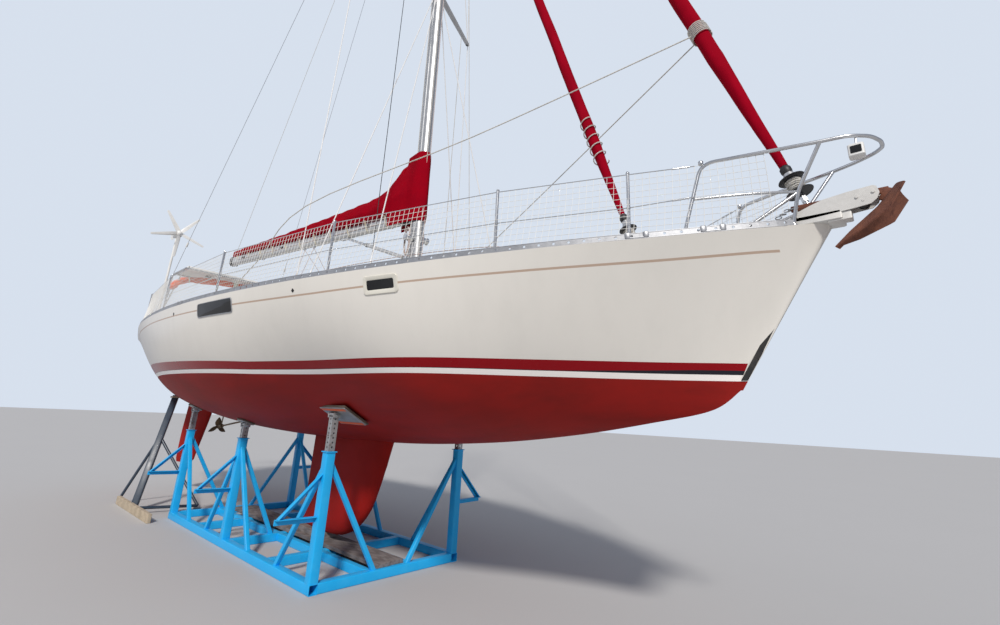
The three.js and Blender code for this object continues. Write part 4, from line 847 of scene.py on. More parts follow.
def net_tree():
    """Turns the edges of a grid into cord that wanders a little."""
    g, given, out = new_tree("Knotted net", "GeometryNodeTree",
                             {"Geometry": "Geometry", "Cord": 0.0014, "Slack": 0.004, "Material": "Material"},
                             {"Geometry": "Geometry"})
    wander = g.node("ShaderNodeTexNoise", {"Scale": 9.0, "Detail": 2.0})
    shift = g.node("ShaderNodeVectorMath", {0: wander.outputs["Color"], 1: (0.5, 0.5, 0.5)}, operation="SUBTRACT")
    scaled = g.node("ShaderNodeVectorMath", {0: shift.outputs[0], "Scale": given["Slack"]}, operation="SCALE")
    bent = g.node("GeometryNodeSetPosition", {"Geometry": given["Geometry"], "Offset": scaled.outputs[0]})
    lines = g.node("GeometryNodeMeshToCurve", {"Mesh": bent.outputs[0]})
    profile = g.node("GeometryNodeCurvePrimitiveCircle", {"Resolution": 4, "Radius": given["Cord"]})
    cord = g.node("GeometryNodeCurveToMesh",
                  {"Curve": lines.outputs[0], "Profile Curve": profile.outputs[0], "Fill Caps": False})
    return painted_tree(g, cord, given, out)


def row_tree():
    """Sets copies of one shape along a line, turned to follow it."""
    g, given, out = new_tree("Row along a line", "GeometryNodeTree",
                             {"Geometry": "Geometry", "Shape": "Object", "Pitch": 0.1, "Material": "Material"},
                             {"Geometry": "Geometry"})
    line = g.node("GeometryNodeMeshToCurve", {"Mesh": given["Geometry"]})
    points = g.node("GeometryNodeCurveToPoints", {"Curve": line.outputs[0], "Length": given["Pitch"]}, mode="LENGTH")
    side = g.node("ShaderNodeVectorMath", {0: points.outputs["Tangent"], 1: (0.0, 0.0, 1.0)}, operation="CROSS_PRODUCT")
    turn = g.node("FunctionNodeAxesToRotation", {0: points.outputs["Tangent"], 1: side.outputs[0]}, primary_axis="X",
                  secondary_axis="Y")
    shape = g.node("GeometryNodeObjectInfo", {"Object": given["Shape"]})
    copies = g.node("GeometryNodeInstanceOnPoints",
                    {"Points": points.outputs[0], "Rotation": turn.outputs[0], "Instance": shape.outputs["Geometry"]})
    return painted_tree(g, copies, given, out)


def grow(piece, tree, values):
    """Runs a Geometry Nodes tree on a piece and keeps the plain mesh."""
    run = piece.modifiers.new(tree.name, "NODES")
    run.node_group = tree
    for item in tree.interface.items_tree:
        if item.in_out == "INPUT" and item.name in values:
            run[item.identifier] = values[item.name]
    piece.update_tag()
    bpy.context.view_layer.update()
    return evaluated_copy(piece)


def line_object(name, points):
    mesh = bpy.data.meshes.new(name)
    mesh.from_pydata([tuple(p) for p in points], [(i, i + 1) for i in range(len(points) - 1)], [])
    return linked(name, mesh)


def row_along(name, points, shape, pitch, material):
    """A piece made of copies of shape set along points."""
    made = grow(line_object(name, points), TREES["row"], {"Shape": shape, "Pitch": pitch, "Material": material})
    work = turned_out(made.data)
    work.to_mesh(made.data)
    work.free()
    soften(made.data)
    return made


TREES = {}
SKIN = {}


def on_hull(x, below, side, out=0.0):
    """A point on the hull's skin by x and distance below the sheer, and the skin's outward direction."""
    z = sheer(x)[1] - below
    hit, normal, _, _ = SKIN["tree"].ray_cast(Vector((x, side * 4.0, z)), Vector((0, -side, 0)))
    if normal.y * side < 0:
        normal = -normal
    return hit + normal * out, normal


# Pieces


class YACHT_OT_hull(bpy.types.Operator):
    """Hull and deck with the cockpit, stripes, windows and stem guard"""
    bl_idname = "yacht.hull"
    bl_label = "Hull and deck"

    def execute(self, context):
        sizes = context.scene.yacht_sizes
        rings = []
        last = len(SECTIONS) - 1
        for i in range(sizes.hull_stations + 1):
            at = last * i / sizes.hull_stations
            port = hull_side(at, 40)
            top = port[-1]
            across = [top[1] * k / 5 for k in range(4, -5, -1)]
            deck = [(top[0], y, top[2] + DECK_CAMBER * (1 - abs(y) / top[1])) for y in across]
            starboard = port[1:][::-1] * np.array((1, -1, 1))
            rings.append([tuple(p) for p in port] + deck + [tuple(p) for p in starboard])
        nose = []
        for share, ahead in ((0.35, 0.014), (0.75, 0.009)):
            nose.append([(x + ahead, y * share, z) for x, y, z in rings[0]])
        hull = Form().shell(nose + rings).build("hull_and_deck", [finish("hull"), finish("deck")])
        work = turned_out(hull.data)
        SKIN["tree"] = BVHTree.FromBMesh(work)
        work.free()
        cutters = [cutter((aft, -half, floor), (front, half, ROOM_TOP), corner)
                   for aft, front, half, floor, corner in HULL_ROOMS]
        for side in (-1, 1):
            low, high = sorted((side * 0.5, side * 1.06))
            cutters.append(cutter((-3.85, low, 2.47), (-2.75, high, ROOM_TOP)))
        carve(hull, cutters)
        mesh = hull.data
        mesh.materials.clear()
        mesh.materials.append(finish("hull"))
        mesh.materials.append(finish("deck"))
        marks = []
        for face in mesh.polygons:
            x, y, z = face.center
            well = abs(y) < 1.17 and -5.91 < x < -2.4 and z > 2.44
            step = abs(y) < 0.505 and -6.62 < x < -5.84 and z > 2.325 and face.normal.x > -0.5
            locker = abs(y) < 0.25 and 5.17 < x < 5.63 and z > 2.84
            marks.append(int(well or step or locker or (face.normal.z > 0.6 and z > 2.3)))
        mesh.polygons.foreach_set("material_index", marks)
        spots = np.array([v.co for v in mesh.vertices])
        order = np.linspace(0, last, 400)
        table = np.array([section(a)[[0, 2]] for a in order])[::-1]
        heights = np.interp(spots[:, 0], table[:, 0], table[:, 1])
        layer = mesh.attributes.new("below_sheer", "FLOAT", "POINT")
        layer.data.foreach_set("value", (heights - spots[:, 2]).astype(np.float32))
        soften(mesh, 30)
        settle(hull, replaces=["hull"])
        self.windows()
        self.stem()
        return {"FINISHED"}

    def windows(self):
        frames, glass = Form(), Form()
        for side in (-1, 1):
            for x_low, x_high, top, bottom, lip in HULL_WINDOWS:
                wide, high = x_high - x_low, bottom - top
                cx, cy = (x_low + x_high) / 2, (top + bottom) / 2

                def laid(across, up, corner, out):
                    """A rounded outline on the skin, with points along its straight sides."""
                    shape = rounded_ring(across, up, corner, 5)
                    every = len(shape) // 4
                    points = []
                    for k, spot in enumerate(shape):
                        points.append(spot)
                        if (k + 1) % every == 0:
                            way = np.array(shape[(k + 1) % len(shape)]) - spot
                            points += [tuple(np.array(spot) + way * j / 11) for j in range(1, 11)]
                    return [on_hull(cx + a, cy + b, side, out)[0] for a, b in points]

                def ring(trim, out, corner=0.03):
                    return laid(wide - 2 * trim, high - 2 * trim, max(0.006, corner - trim * 0.4), out)

                frames.shell([ring(0.0, -0.004), ring(0.0, 0.006), ring(0.004, 0.01), ring(lip - 0.004, 0.01),
                              ring(lip, 0.007), ring(lip, -0.006)], 0 if lip > 0.02 else 1, caps=False)
                pane = [ring(lip - 0.001, -0.004), ring(lip - 0.001, 0.004)]
                for share in (0.7, 0.35):
                    pane.append(laid((wide - 2 * lip) * share, (high - 2 * lip) * share, 0.004, 0.005))
                glass.shell(pane)
            for x in PORTHOLE_X:
                shape = circle(0.02, 4)
                glass.shell([[on_hull(x + a * s, PORTHOLE_BELOW + b * s, side, o)[0] for a, b in shape]
                             for s, o in ((1.0, -0.002), (1.0, 0.004), (0.6, 0.006))])
        frames.piece("window_frames", "cushion_white rail")
        glass.piece("window_glass", "acrylic")

    def stem(self):
        """A black guard that follows the stem from the stripes up."""
        form = Form()
        rings = []
        for k in range(14):
            z = 2.11 + 0.46 * k / 13
            at = (z - 2.04) / (3.17 - 2.04)
            x = 5.61 + 0.68 * at
            half = 0.013 + 0.016 * at
            rings.append([(x - 0.03, -half - 0.006, z), (x + 0.004, -half * 0.8, z), (x + 0.012, -half * 0.3, z),
                          (x + 0.012, half * 0.3, z), (x + 0.004, half * 0.8, z), (x - 0.03, half + 0.006, z)])
        form.shell(rings)
        form.piece("stem_guard", "rubber")


# Half thickness of a foil along its chord, as shares
FOIL = ((0, 0), (0.01, 0.26), (0.04, 0.5), (0.09, 0.72), (0.16, 0.88), (0.26, 0.98), (0.38, 1), (0.52, 0.87),
        (0.7, 0.62), (0.85, 0.33), (1, 0.05))


# Keel from its root down: height, front edge, back edge and half thickness
KEEL = ((1.52, 1.567, -0.332, 0.129), (1.13, 1.455, -0.343, 0.124), (0.93, 1.38, -0.347, 0.125),
        (0.72, 1.295, -0.35, 0.126), (0.6, 1.226, -0.352, 0.128), (0.5, 1.145, -0.353, 0.127),
        (0.41, 1.05, -0.354, 0.122), (0.34, 0.952, -0.354, 0.112), (0.295, 0.866, -0.353, 0.102),
        (0.258, 0.77, -0.35, 0.088), (0.236, 0.69, -0.346, 0.076), (0.2223, 0.6, -0.336, 0.056))


def foil_ring(z, lead, trail, half):
    front = [(lead + (trail - lead) * c, half * h, z) for c, h in FOIL]
    return front + [(x, -y, z) for x, y, z in front[1:][::-1]]


def foil_rings(levels, steps=6):
    """Rings between the levels of a foil, bulged smoothly."""
    rows = [list(level) for level in levels]
    path = smooth_path([(a[1], a[2], a[3]) for a in rows], steps)
    heights = []
    for a, b in zip(rows, rows[1:]):
        heights += [a[0] + (b[0] - a[0]) * k / steps for k in range(steps)]
    heights.append(rows[-1][0])
    return [foil_ring(z, p.x, p.y, p.z) for z, p in zip(heights, path)]


class YACHT_OT_foils(bpy.types.Operator):
    """Keel, rudder, propeller and its shaft"""
    bl_idname = "yacht.foils"
    bl_label = "Keel, rudder and propeller"

    def execute(self, context):
        Form().shell(foil_rings(KEEL)).piece("keel_fin", "antifouling", slot="keel_iron", replaces=["keel"], sharp=60)
        blade = Form().shell(foil_rings(((1.7, 0.24, -0.556, 0.062), (1.18, 0.11, -0.6, 0.05),
                                         (0.64, -0.04, -0.6, 0.036), (0.56, -0.11, -0.57, 0.02))))
        for point in blade.points:
            point.z += 0.1 * max(0.0, point.z - 1.4) / 0.3 * max(0.0, 0.24 - point.x) / 0.8
        blade.rod((0, 0, 1.3), (0, 0, 1.99), 0.038, sides=24)
        turn = Matrix.Translation((-5.14, 0, 0)) @ Matrix.Rotation(radians(18), 4, "Z")
        blade.points = [turn @ p for p in blade.points]
        blade.piece("rudder_blade_faired", "antifouling", "rudder", "antifouling", ["rudder_blade"], sharp=60)
        shaft = Form()
        shaft.rod((-2.6, 0, 1.546), (-4.179, 0, 1.339), 0.016, sides=16)
        shaft.rod((-4.16, 0, 1.341), (-4.02, 0, 1.36), 0.034, sides=20)
        strut = [(-4.09, -4.05, 1.35), (-4.1, -4.03, 1.5), (-4.1, -4.02, 1.66)]
        shaft.shell([[(b, 0, z), ((a + b) / 2, 0.01, z), (a, 0, z), ((a + b) / 2, -0.01, z)] for a, b, z in strut])
        shaft.piece("shaft_and_bracket", "bronze", slot="bronze", replaces=["shaft_and_strut"])
        screw = Form()
        screw.lathe((-4.25, 0, 1.33), (1, 0, 0),
                    ((-0.07, 0.004), (-0.066, 0.02), (-0.045, 0.029), (0.0, 0.034), (0.06, 0.036), (0.068, 0.032)),
                    sides=28)
        for k in range(3):
            turn = Matrix.Translation((-4.25, 0, 1.33)) @ Matrix.Rotation(k * tau / 3, 4, "X")
            rings = []
            for share in (0.0, 0.15, 0.35, 0.6, 0.8, 0.93, 1.0):
                reach = 0.024 + 0.16 * share
                chord = 0.058 * sin(pi * min(1, 0.16 + 0.84 * share) ** 0.8) + 0.006
                pitch = radians(38 + 16 * (0.5 - share))
                thick = 0.0065 * (1 - 0.7 * share)
                ring = []
                for a, b in circle(1.0, 14):
                    across, deep = a * chord, b * thick
                    ring.append(turn @ Vector((across * sin(pitch) + deep * cos(pitch),
                                               across * cos(pitch) - deep * sin(pitch), reach)))
                rings.append(ring)
            screw.shell(rings)
        screw.piece("propeller_blades", "bronze", "propeller", "bronze", ["propeller_three_blade"])
        return {"FINISHED"}


def rail_unit(pitch, high, thick, hole):
    """One length of pierced strip, with a real hole through it."""
    sides = 16
    outer = []
    for c, s in circle(1.0, sides):
        reach = 1 / max(abs(c), abs(s))
        outer.append((c * reach * pitch / 2, s * reach * high / 2))
    inner = circle(hole, sides)
    rings = [[(x, thick / 2, z) for x, z in inner], [(x, thick / 2, z) for x, z in outer],
             [(x, -thick / 2, z) for x, z in outer], [(x, -thick / 2, z) for x, z in inner],
             [(x, thick / 2, z) for x, z in inner]]
    return Form().shell(rings, caps=False).build("pierced_length", [])


class YACHT_OT_toe_rails(bpy.types.Operator):
    """Pierced toe rails with fairleads and cleats"""
    bl_idname = "yacht.toe_rails"
    bl_label = "Toe rails"

    def execute(self, context):
        sizes = context.scene.yacht_sizes
        unit = rail_unit(sizes.hole_pitch, 0.04, 0.006, 0.0105)
        for name, side in SIDES:
            xs = np.linspace(6.06, -5.96, 240)
            wall = []
            for x in xs:
                half, height = sheer(x)
                wall.append((x, side * (half - 0.011), height + 0.024))
            rail = row_along(f"toe_rail_holes_{name}", wall, unit, sizes.hole_pitch, finish("rail"))
            form = Form()
            for high, wide, thick, inset in ((0.0015, 0.036, 0.005, 0.02), (0.0455, 0.012, 0.006, 0.012)):
                path = [(x, side * (sheer(x)[0] - inset), sheer(x)[1] + high) for x in xs[::2]]
                form.sweep(path, rounded_ring(wide, thick, 0.0022, 2))
            for x in (5.66, 5.2, -0.4, -5.2):
                spot = Vector((x, side * (sheer(x)[0] - 0.012), sheer(x)[1] + 0.03))
                ahead = Vector((x + 0.1, side * (sheer(x + 0.1)[0] - 0.012), sheer(x + 0.1)[1] + 0.03))
                way = (ahead - spot).normalized()
                form.bar(spot - way * 0.085, spot - way * 0.045, 0.022, 0.052, corner=0.008)
                form.bar(spot + way * 0.045, spot + way * 0.085, 0.022, 0.052, corner=0.008)
                form.bar(spot - way * 0.05 - UP * 0.02, spot + way * 0.05 - UP * 0.02, 0.024, 0.012, corner=0.004)
            strip = form.build(f"toe_rail_{name}_caps", [finish("rail")])
            settle(rail)
            settle(strip, replaces=[f"toe_rail_{name}"])
            cleats = Form()
            for x in (5.45, 0.1, -5.35):
                half = sheer(x)[0] - 0.16
                z = deck_z(x, half)
                for dx in (-0.045, 0.045):
                    cleats.rod((x + dx, side * half, z), (x + dx, side * half, z + 0.045), 0.012)
                horn = [(x - 0.14, side * half, z + 0.052), (x - 0.09, side * half, z + 0.046),
                        (x, side * half, z + 0.048), (x + 0.09, side * half, z + 0.046),
                        (x + 0.14, side * half, z + 0.052)]
                cleats.tube(smooth_path(horn), 0.011, scales=[0.5 + 0.5 * sin(pi * k / 24) for k in range(25)])
                cleats.slab((x - 0.075, side * half - 0.025, z - 0.006), (x + 0.075, side * half + 0.025, z + 0.006))
            cleats.piece(f"cleats_{name}", "stainless")
        bpy.data.objects.remove(unit)
        return {"FINISHED"}


# Coachroof from its forward end aft: minus x, half width, height of the crown and lean of its side
ROOF = ((-3.45, 0.42, 0.012, 0.01), (-2.9, 0.7, 0.15, 0.06), (-2.0, 0.96, 0.265, 0.1),
        (-0.7, 1.14, 0.345, 0.13), (0.9, 1.23, 0.41, 0.15), (2.44, 1.23, 0.455, 0.15))


def roof_section(x):
    """Half width and lean of the coachroof at x, and the height of its crown."""
    _, half, top, lean = mix_rows(ROOF, -x)
    crown = sheer(x)[1] + DECK_CAMBER + top
    return half, lean, crown


def roof_ring(x, drop=0.0):
    half, lean, crown = roof_section(x)
    edge = deck_z(x, half) - 0.05
    keys = [(half + 0.002, edge), (half - lean * 0.2, edge + 0.06), (half - lean * 0.95, crown - 0.062),
            (half - lean - 0.035, crown - 0.026), (half - lean - 0.1, crown - 0.012), (half * 0.45, crown + 0.006),
            (0.0, crown + 0.018)]
    side = smooth_path([(0, y, max(edge, z - drop)) for y, z in keys], 3)
    port = [(x, p.y, p.z) for p in side]
    return port + [(x, -y, z) for x, y, z in port[::-1][1:]]


class YACHT_OT_coachroof(bpy.types.Operator):
    """Coachroof with its windows, handrails, hatches and companionway"""
    bl_idname = "yacht.coachroof"
    bl_label = "Coachroof and hatches"

    def execute(self, context):
        rings = [roof_ring(x) for x in np.linspace(3.45, -2.44, 60)]
        roof = Form().shell(rings).build("coachroof_shell", [finish("deck")], 34)
        carve(roof, [cutter((-2.6, -0.33, 2.9), (-1.75, 0.33, 3.7), 0.02)])
        soften(roof.data, 34)
        settle(roof, replaces=["coachroof"])
        glass, trim = Form(), Form()
        for side in (-1, 1):
            for front, aft in ((2.35, 1.35), (1.15, 0.05), (-0.15, -1.25)):
                outer, inner = [], []
                for k in range(28):
                    angle = tau * k / 28
                    c, s = cos(angle), sin(angle)
                    a = copysign(abs(c) ** 0.5, c)
                    b = copysign(abs(s) ** 0.6, s)
                    x = (front + aft) / 2 + (front - aft) / 2 * a
                    half, lean, crown = roof_section(x)
                    low, high = deck_z(x, half) + 0.07, crown - 0.095
                    z = (low + high) / 2 + (high - low) / 2 * b * 0.92
                    share = (z - deck_z(x, half)) / (crown - 0.062 - deck_z(x, half))
                    y = half - lean * (0.2 + 0.75 * share)
                    outer.append((x, side * (y - 0.004), z))
                    inner.append((x, side * (y + 0.008), z))
                glass.shell([outer, inner])
            rail = []
            for k in range(31):
                x = 1.9 - 3.4 * k / 30
                half, lean, crown = roof_section(x)
                rail.append((x, side * (half - lean - 0.12), crown - 0.006 + (0.0 if k % 6 == 0 else 0.045)))
            trim.tube(smooth_path(rail, 3), 0.013)
            for k in range(0, 31, 6):
                x, y, z = rail[k]
                trim.rod((x, y, z - 0.004), (x, y, z + 0.012), 0.026)
        glass.piece("coachroof_windows", "acrylic")
        trim.piece("coachroof_handrails", "stainless")
        self.hatches()
        self.slide()
        return {"FINISHED"}

    def hatches(self):
        fore_z = deck_z(3.9, 0) + 0.004
        rim = Form().slab((3.62, -0.29, fore_z - 0.06), (4.2, 0.29, fore_z + 0.03), corner=0.05)
        rim.piece("fore_hatch_rim", "rail", slot="aluminium", replaces=["fore_hatch_frame"])
        for name, body, low, high in (("fore_hatch", "fore_hatch", (3.62, -0.29, fore_z + 0.0303),
                                       (4.2, 0.29, fore_z + 0.055)),
                                      ("saloon_hatch", "saloon_hatch", (0.09, -0.3, 3.3823), (0.69, 0.3, 3.412))):
            form = Form()
            form.slab(low, (high[0], high[1], high[2] - 0.004), 0, 0.055)
            form.slab((low[0] + 0.045, low[1] + 0.045, high[2] - 0.008), (high[0] - 0.045, high[1] - 0.045, high[2]),
                      1, 0.03)
            for y in (-0.15, 0.15):
                form.rod((high[0] - 0.005, y - 0.03, low[2] + 0.013), (high[0] - 0.005, y + 0.03, low[2] + 0.013),
                         0.012)
                form.bar((low[0] + 0.09, y, high[2] + 0.002), (low[0] + 0.14, y, high[2] + 0.002), 0.018, 0.012, 2,
                         0.004)
            form.piece(f"{name}_pane", "rail acrylic black", body, "smoked_acrylic", [f"{name}_lid"])

    def slide(self):
        box = {name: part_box(name) for name in ("companionway_slide", "companionway_boards")}
        low, high = box["companionway_slide"]
        form = Form()
        form.slab(low, high, 0, 0.035)
        form.bar((low.x + 0.05, -0.16, high.z + 0.01), (low.x + 0.05, 0.16, high.z + 0.01), 0.02, 0.022, 1, 0.005)
        form.piece("companionway_hatch", "deck stainless", "companion_slide", "deck_gelcoat", ["companionway_slide"])
        low, high = box["companionway_boards"]
        boards = Form()
        for k in range(3):
            z = low.z + (high.z - low.z) * k / 3
            boards.slab((low.x, low.y, z + 0.001), (high.x, high.y, z + (high.z - low.z) / 3 - 0.001), 0, 0.004)
        boards.bar((low.x - 0.004, -0.05, high.z - 0.06), (low.x - 0.004, 0.05, high.z - 0.06), 0.012, 0.03, 1, 0.004)
        boards.piece("washboards", "acrylic stainless", slot="smoked_acrylic", replaces=["companionway_boards"])
        rails = Form()
        for side in (-1, 1):
            y = side * 0.4055
            rails.bar((-2.44, y, 3.45), (-1.02, y, 3.45), 0.039, 0.17)
            rails.bar((-2.44, side * 0.3655, 3.47), (-1.02, side * 0.3655, 3.47), 0.03, 0.026, 0, 0.004)
        rails.piece("slide_rails", "deck")


# Coaming from its front end aft: distance aft, inner and outer half width, height above the sheer
COAMING = ((2.452, 1.19, 1.4, 0.3), (3.6, 1.19, 1.39, 0.27),
           (4.8, 1.17, 1.36, 0.235), (5.44, 1.16, 1.3, 0.12))


def winch(form, foot, radius, high):
    """A self-tailing winch: base, waisted drum, jaws and top."""
    x, y, z = foot
    form.lathe((x, y, z), UP, ((0, radius), (high * 0.06, radius), (high * 0.14, radius * 0.93)), 1, 32)
    form.lathe((x, y, z), UP,
               ((high * 0.14, radius * 0.86), (high * 0.22, radius * 0.82), (high * 0.4, radius * 0.7),
                (high * 0.56, radius * 0.68), (high * 0.66, radius * 0.8)), 0, 32)
    form.lathe((x, y, z), UP,
               ((high * 0.66, radius * 0.96), (high * 0.7, radius * 0.97), (high * 0.75, radius * 0.7),
                (high * 0.8, radius * 0.97), (high * 0.85, radius * 0.95)), 1, 32)
    form.lathe((x, y, z), UP,
               ((high * 0.85, radius * 0.8), (high * 0.95, radius * 0.78), (high, radius * 0.66), (high, 0.02),
                (high - 0.03, 0.018)), 0, 32)


class YACHT_OT_cockpit(bpy.types.Operator):
    """Coamings with winches, lids, pedestal and wheel"""
    bl_idname = "yacht.cockpit"
    bl_label = "Cockpit"

    def execute(self, context):
        for name, side in SIDES:
            rings = []
            for along in np.linspace(2.452, 5.44, 30):
                _, inner, outer, top = mix_rows(COAMING, along)
                height = sheer(-along)[1] + top
                ring = [(inner, 2.885), (inner + 0.006, 2.94), (inner + 0.02, height - 0.05),
                        (inner + 0.034, height - 0.012), (inner + 0.06, height), (outer - 0.095, height),
                        (outer - 0.066, height - 0.014), (outer - 0.05, height - 0.05), (outer - 0.008, 2.99),
                        (outer, 2.9)]
                rings.append([(-along, side * y, z) for y, z in ring])
            form = Form().shell(rings, 2)
            for x, base, radius, high in ((-3.9, 0.25, 0.09, 0.19), (-3.1, 0.285, 0.072, 0.16)):
                winch(form, (x, side * (1.285 if radius > 0.08 else 1.29), sheer(x)[1] + base - 0.02), radius, high)
            form.piece(f"coaming_and_winches_{name}", "stainless black deck", slot="deck_gelcoat",
                       replaces=[f"coaming_{name}"])
            low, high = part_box(f"locker_lid_{name}")
            lid = Form().slab(low, high, 0, 0.04)
            lid.slab((low.x + 0.05, low.y + 0.05, high.z - 0.002), (high.x - 0.05, high.y - 0.05, high.z + 0.004), 0,
                     0.03)
            for x in (-3.6, -3.0):
                lid.rod((x - 0.05, side * 1.082, low.z + 0.017), (x + 0.05, side * 1.082, low.z + 0.017), 0.009, 1)
            lid.bar((-3.34, side * 0.5, high.z), (-3.26, side * 0.5, high.z), 0.03, 0.012, 1, 0.004)
            lid.piece(f"seat_lid_{name}", "deck stainless", f"locker_{name}", "deck_gelcoat", [f"locker_lid_{name}"])
        self.anchor_lid()
        self.helm()
        return {"FINISHED"}

    def anchor_lid(self):
        rings = []
        for k in range(9):
            x = 5.15 + 0.48 * k / 8
            ease = 0.004 if k in (0, 8) else 0.0
            ring = [(-0.27 + ease, 0.0), (-0.27 + ease, 0.022 - ease), (-0.262, 0.028 - ease)]
            ring += [(y, 0.028 - ease) for y in (-0.18, -0.09, 0, 0.09, 0.18)]
            ring += [(0.262, 0.028 - ease), (0.27 - ease, 0.022 - ease), (0.27 - ease, 0.0)]
            rings.append([(x, y, deck_z(x, y) + h + 0.0003) for y, h in ring] + [(x, 0.0, deck_z(x, 0) + 0.0003)])
        form = Form().shell(rings)
        for y in (-0.16, 0.16):
            form.rod((5.15, y - 0.04, 3.1205), (5.15, y + 0.04, 3.1205), 0.01, 1)
        form.bar((5.57, -0.03, deck_z(5.57, 0) + 0.03), (5.57, 0.03, deck_z(5.57, 0) + 0.03), 0.03, 0.012, 1, 0.004)
        form.piece("anchor_locker_hatch", "deck stainless", "anchor_lid", "deck_gelcoat", ["anchor_locker_lid"])

    def helm(self):
        form = Form()
        form.slab((-4.48, -0.11, SOLE_Z + 0.0003), (-4.26, 0.11, SOLE_Z + 0.78), 2, 0.045)
        form.slab((-4.46, -0.09, SOLE_Z + 0.77), (-4.28, 0.09, 3.39), 2, 0.04)
        form.lathe((-4.37, 0, 3.37), UP, ((0.0, 0.075), (0.03, 0.078), (0.045, 0.07), (0.063, 0.052), (0.064, 0.003)),
                   1, 32)
        form.rod((-4.523, 0, 3.33), (-4.3, 0, 3.33), 0.045, 0, 24)
        form.rod((-4.5303, 0, 3.33), (-4.3, 0, 3.33), 0.02, 0, 20)
        guard = bent_path([(-4.24, -0.17, SOLE_Z), (-4.24, -0.17, 3.42), (-4.24, 0.17, 3.42), (-4.24, 0.17, SOLE_Z)],
                          0.08, 8)
        form.tube(guard, 0.014, 0, 14)
        form.bar((-4.24, -0.17, 3.33), (-4.24, 0.17, 3.33), 0.024, 0.024)
        form.bar((-4.245, 0, 3.33), (-4.33, 0, 3.33), 0.024, 0.024)
        for side in (-1, 1):
            form.rod((-4.35, side * 0.088, 3.25), (-4.35, side * 0.115, 3.25), 0.022)
            form.rod((-4.35, side * 0.11, 3.25), (-4.3, side * 0.125, 3.36), 0.006)
            form.ball((-4.3, side * 0.125, 3.36), 0.014, 1)
        form.piece("pedestal_and_compass", "stainless black white", slot="stainless", replaces=["steering_pedestal"])
        wheel = Form()
        centre = WHEEL_CENTRE
        ring = [centre + Vector((0, WHEEL_RADIUS * sin(tau * k / 72), WHEEL_RADIUS * cos(tau * k / 72)))
                for k in range(73)]
        wheel.tube(ring, 0.0145, 1, 12)
        wheel.lathe(centre, (1, 0, 0),
                    ((-0.03, 0.02), (-0.03, 0.04), (-0.024, 0.046), (0.022, 0.046), (0.03, 0.04), (0.03, 0.02)), 0, 28)
        for k in range(WHEEL_SPOKES):
            angle = tau * k / WHEEL_SPOKES
            tip = centre + Vector((0, sin(angle), cos(angle))) * 0.44
            wheel.rod(centre, tip, 0.009, 0, 12)
        wheel.piece("wheel_rim", "stainless rubber", "wheel", "stainless", ["steering_wheel"])


def stay_line(name):
    stay = STAYS[name]
    foot = Vector((stay["foot"][0], 0, stay["foot"][1]))
    head = Vector((stay["head"][0], 0, stay["head"][1]))
    return foot, head, (head - foot).normalized()


def spreader_tip(level, side):
    z, half, sweep = SPREADERS[level]
    return Vector((mast_x(z) - sweep, side * half, z + 0.04))


def turnbuckle(form, foot, way):
    """A toggle, an open body with its two screws and the wire's terminal."""
    foot, way = Vector(foot), Vector(way).normalized()
    at = [foot + way * d for d in (0.0, 0.05, 0.1, 0.27, 0.32, 0.4)]
    form.bar(at[0] - way * 0.02, at[1], 0.022, 0.014, 0, 0.004)
    form.rod(at[0] - Vector((0, 0.02, 0)), at[0] + Vector((0, 0.02, 0)), 0.008, 0, 10)
    form.rod(at[1], at[2] + way * 0.04, 0.0065, 0, 10)
    side = way.cross(Vector((1, 0, 0))).normalized() * 0.011
    for shift in (side, -side):
        form.rod(at[2] + shift, at[3] + shift, 0.0055, 0, 8)
    form.rod(at[2] - way * 0.012, at[2] + way * 0.012, 0.017, 0, 12)
    form.rod(at[3] - way * 0.012, at[3] + way * 0.012, 0.017, 0, 12)
    form.rod(at[3] - way * 0.04, at[4], 0.0065, 0, 10)
    form.rod(at[4], at[5], 0.009, 0, 10, 0.0065)


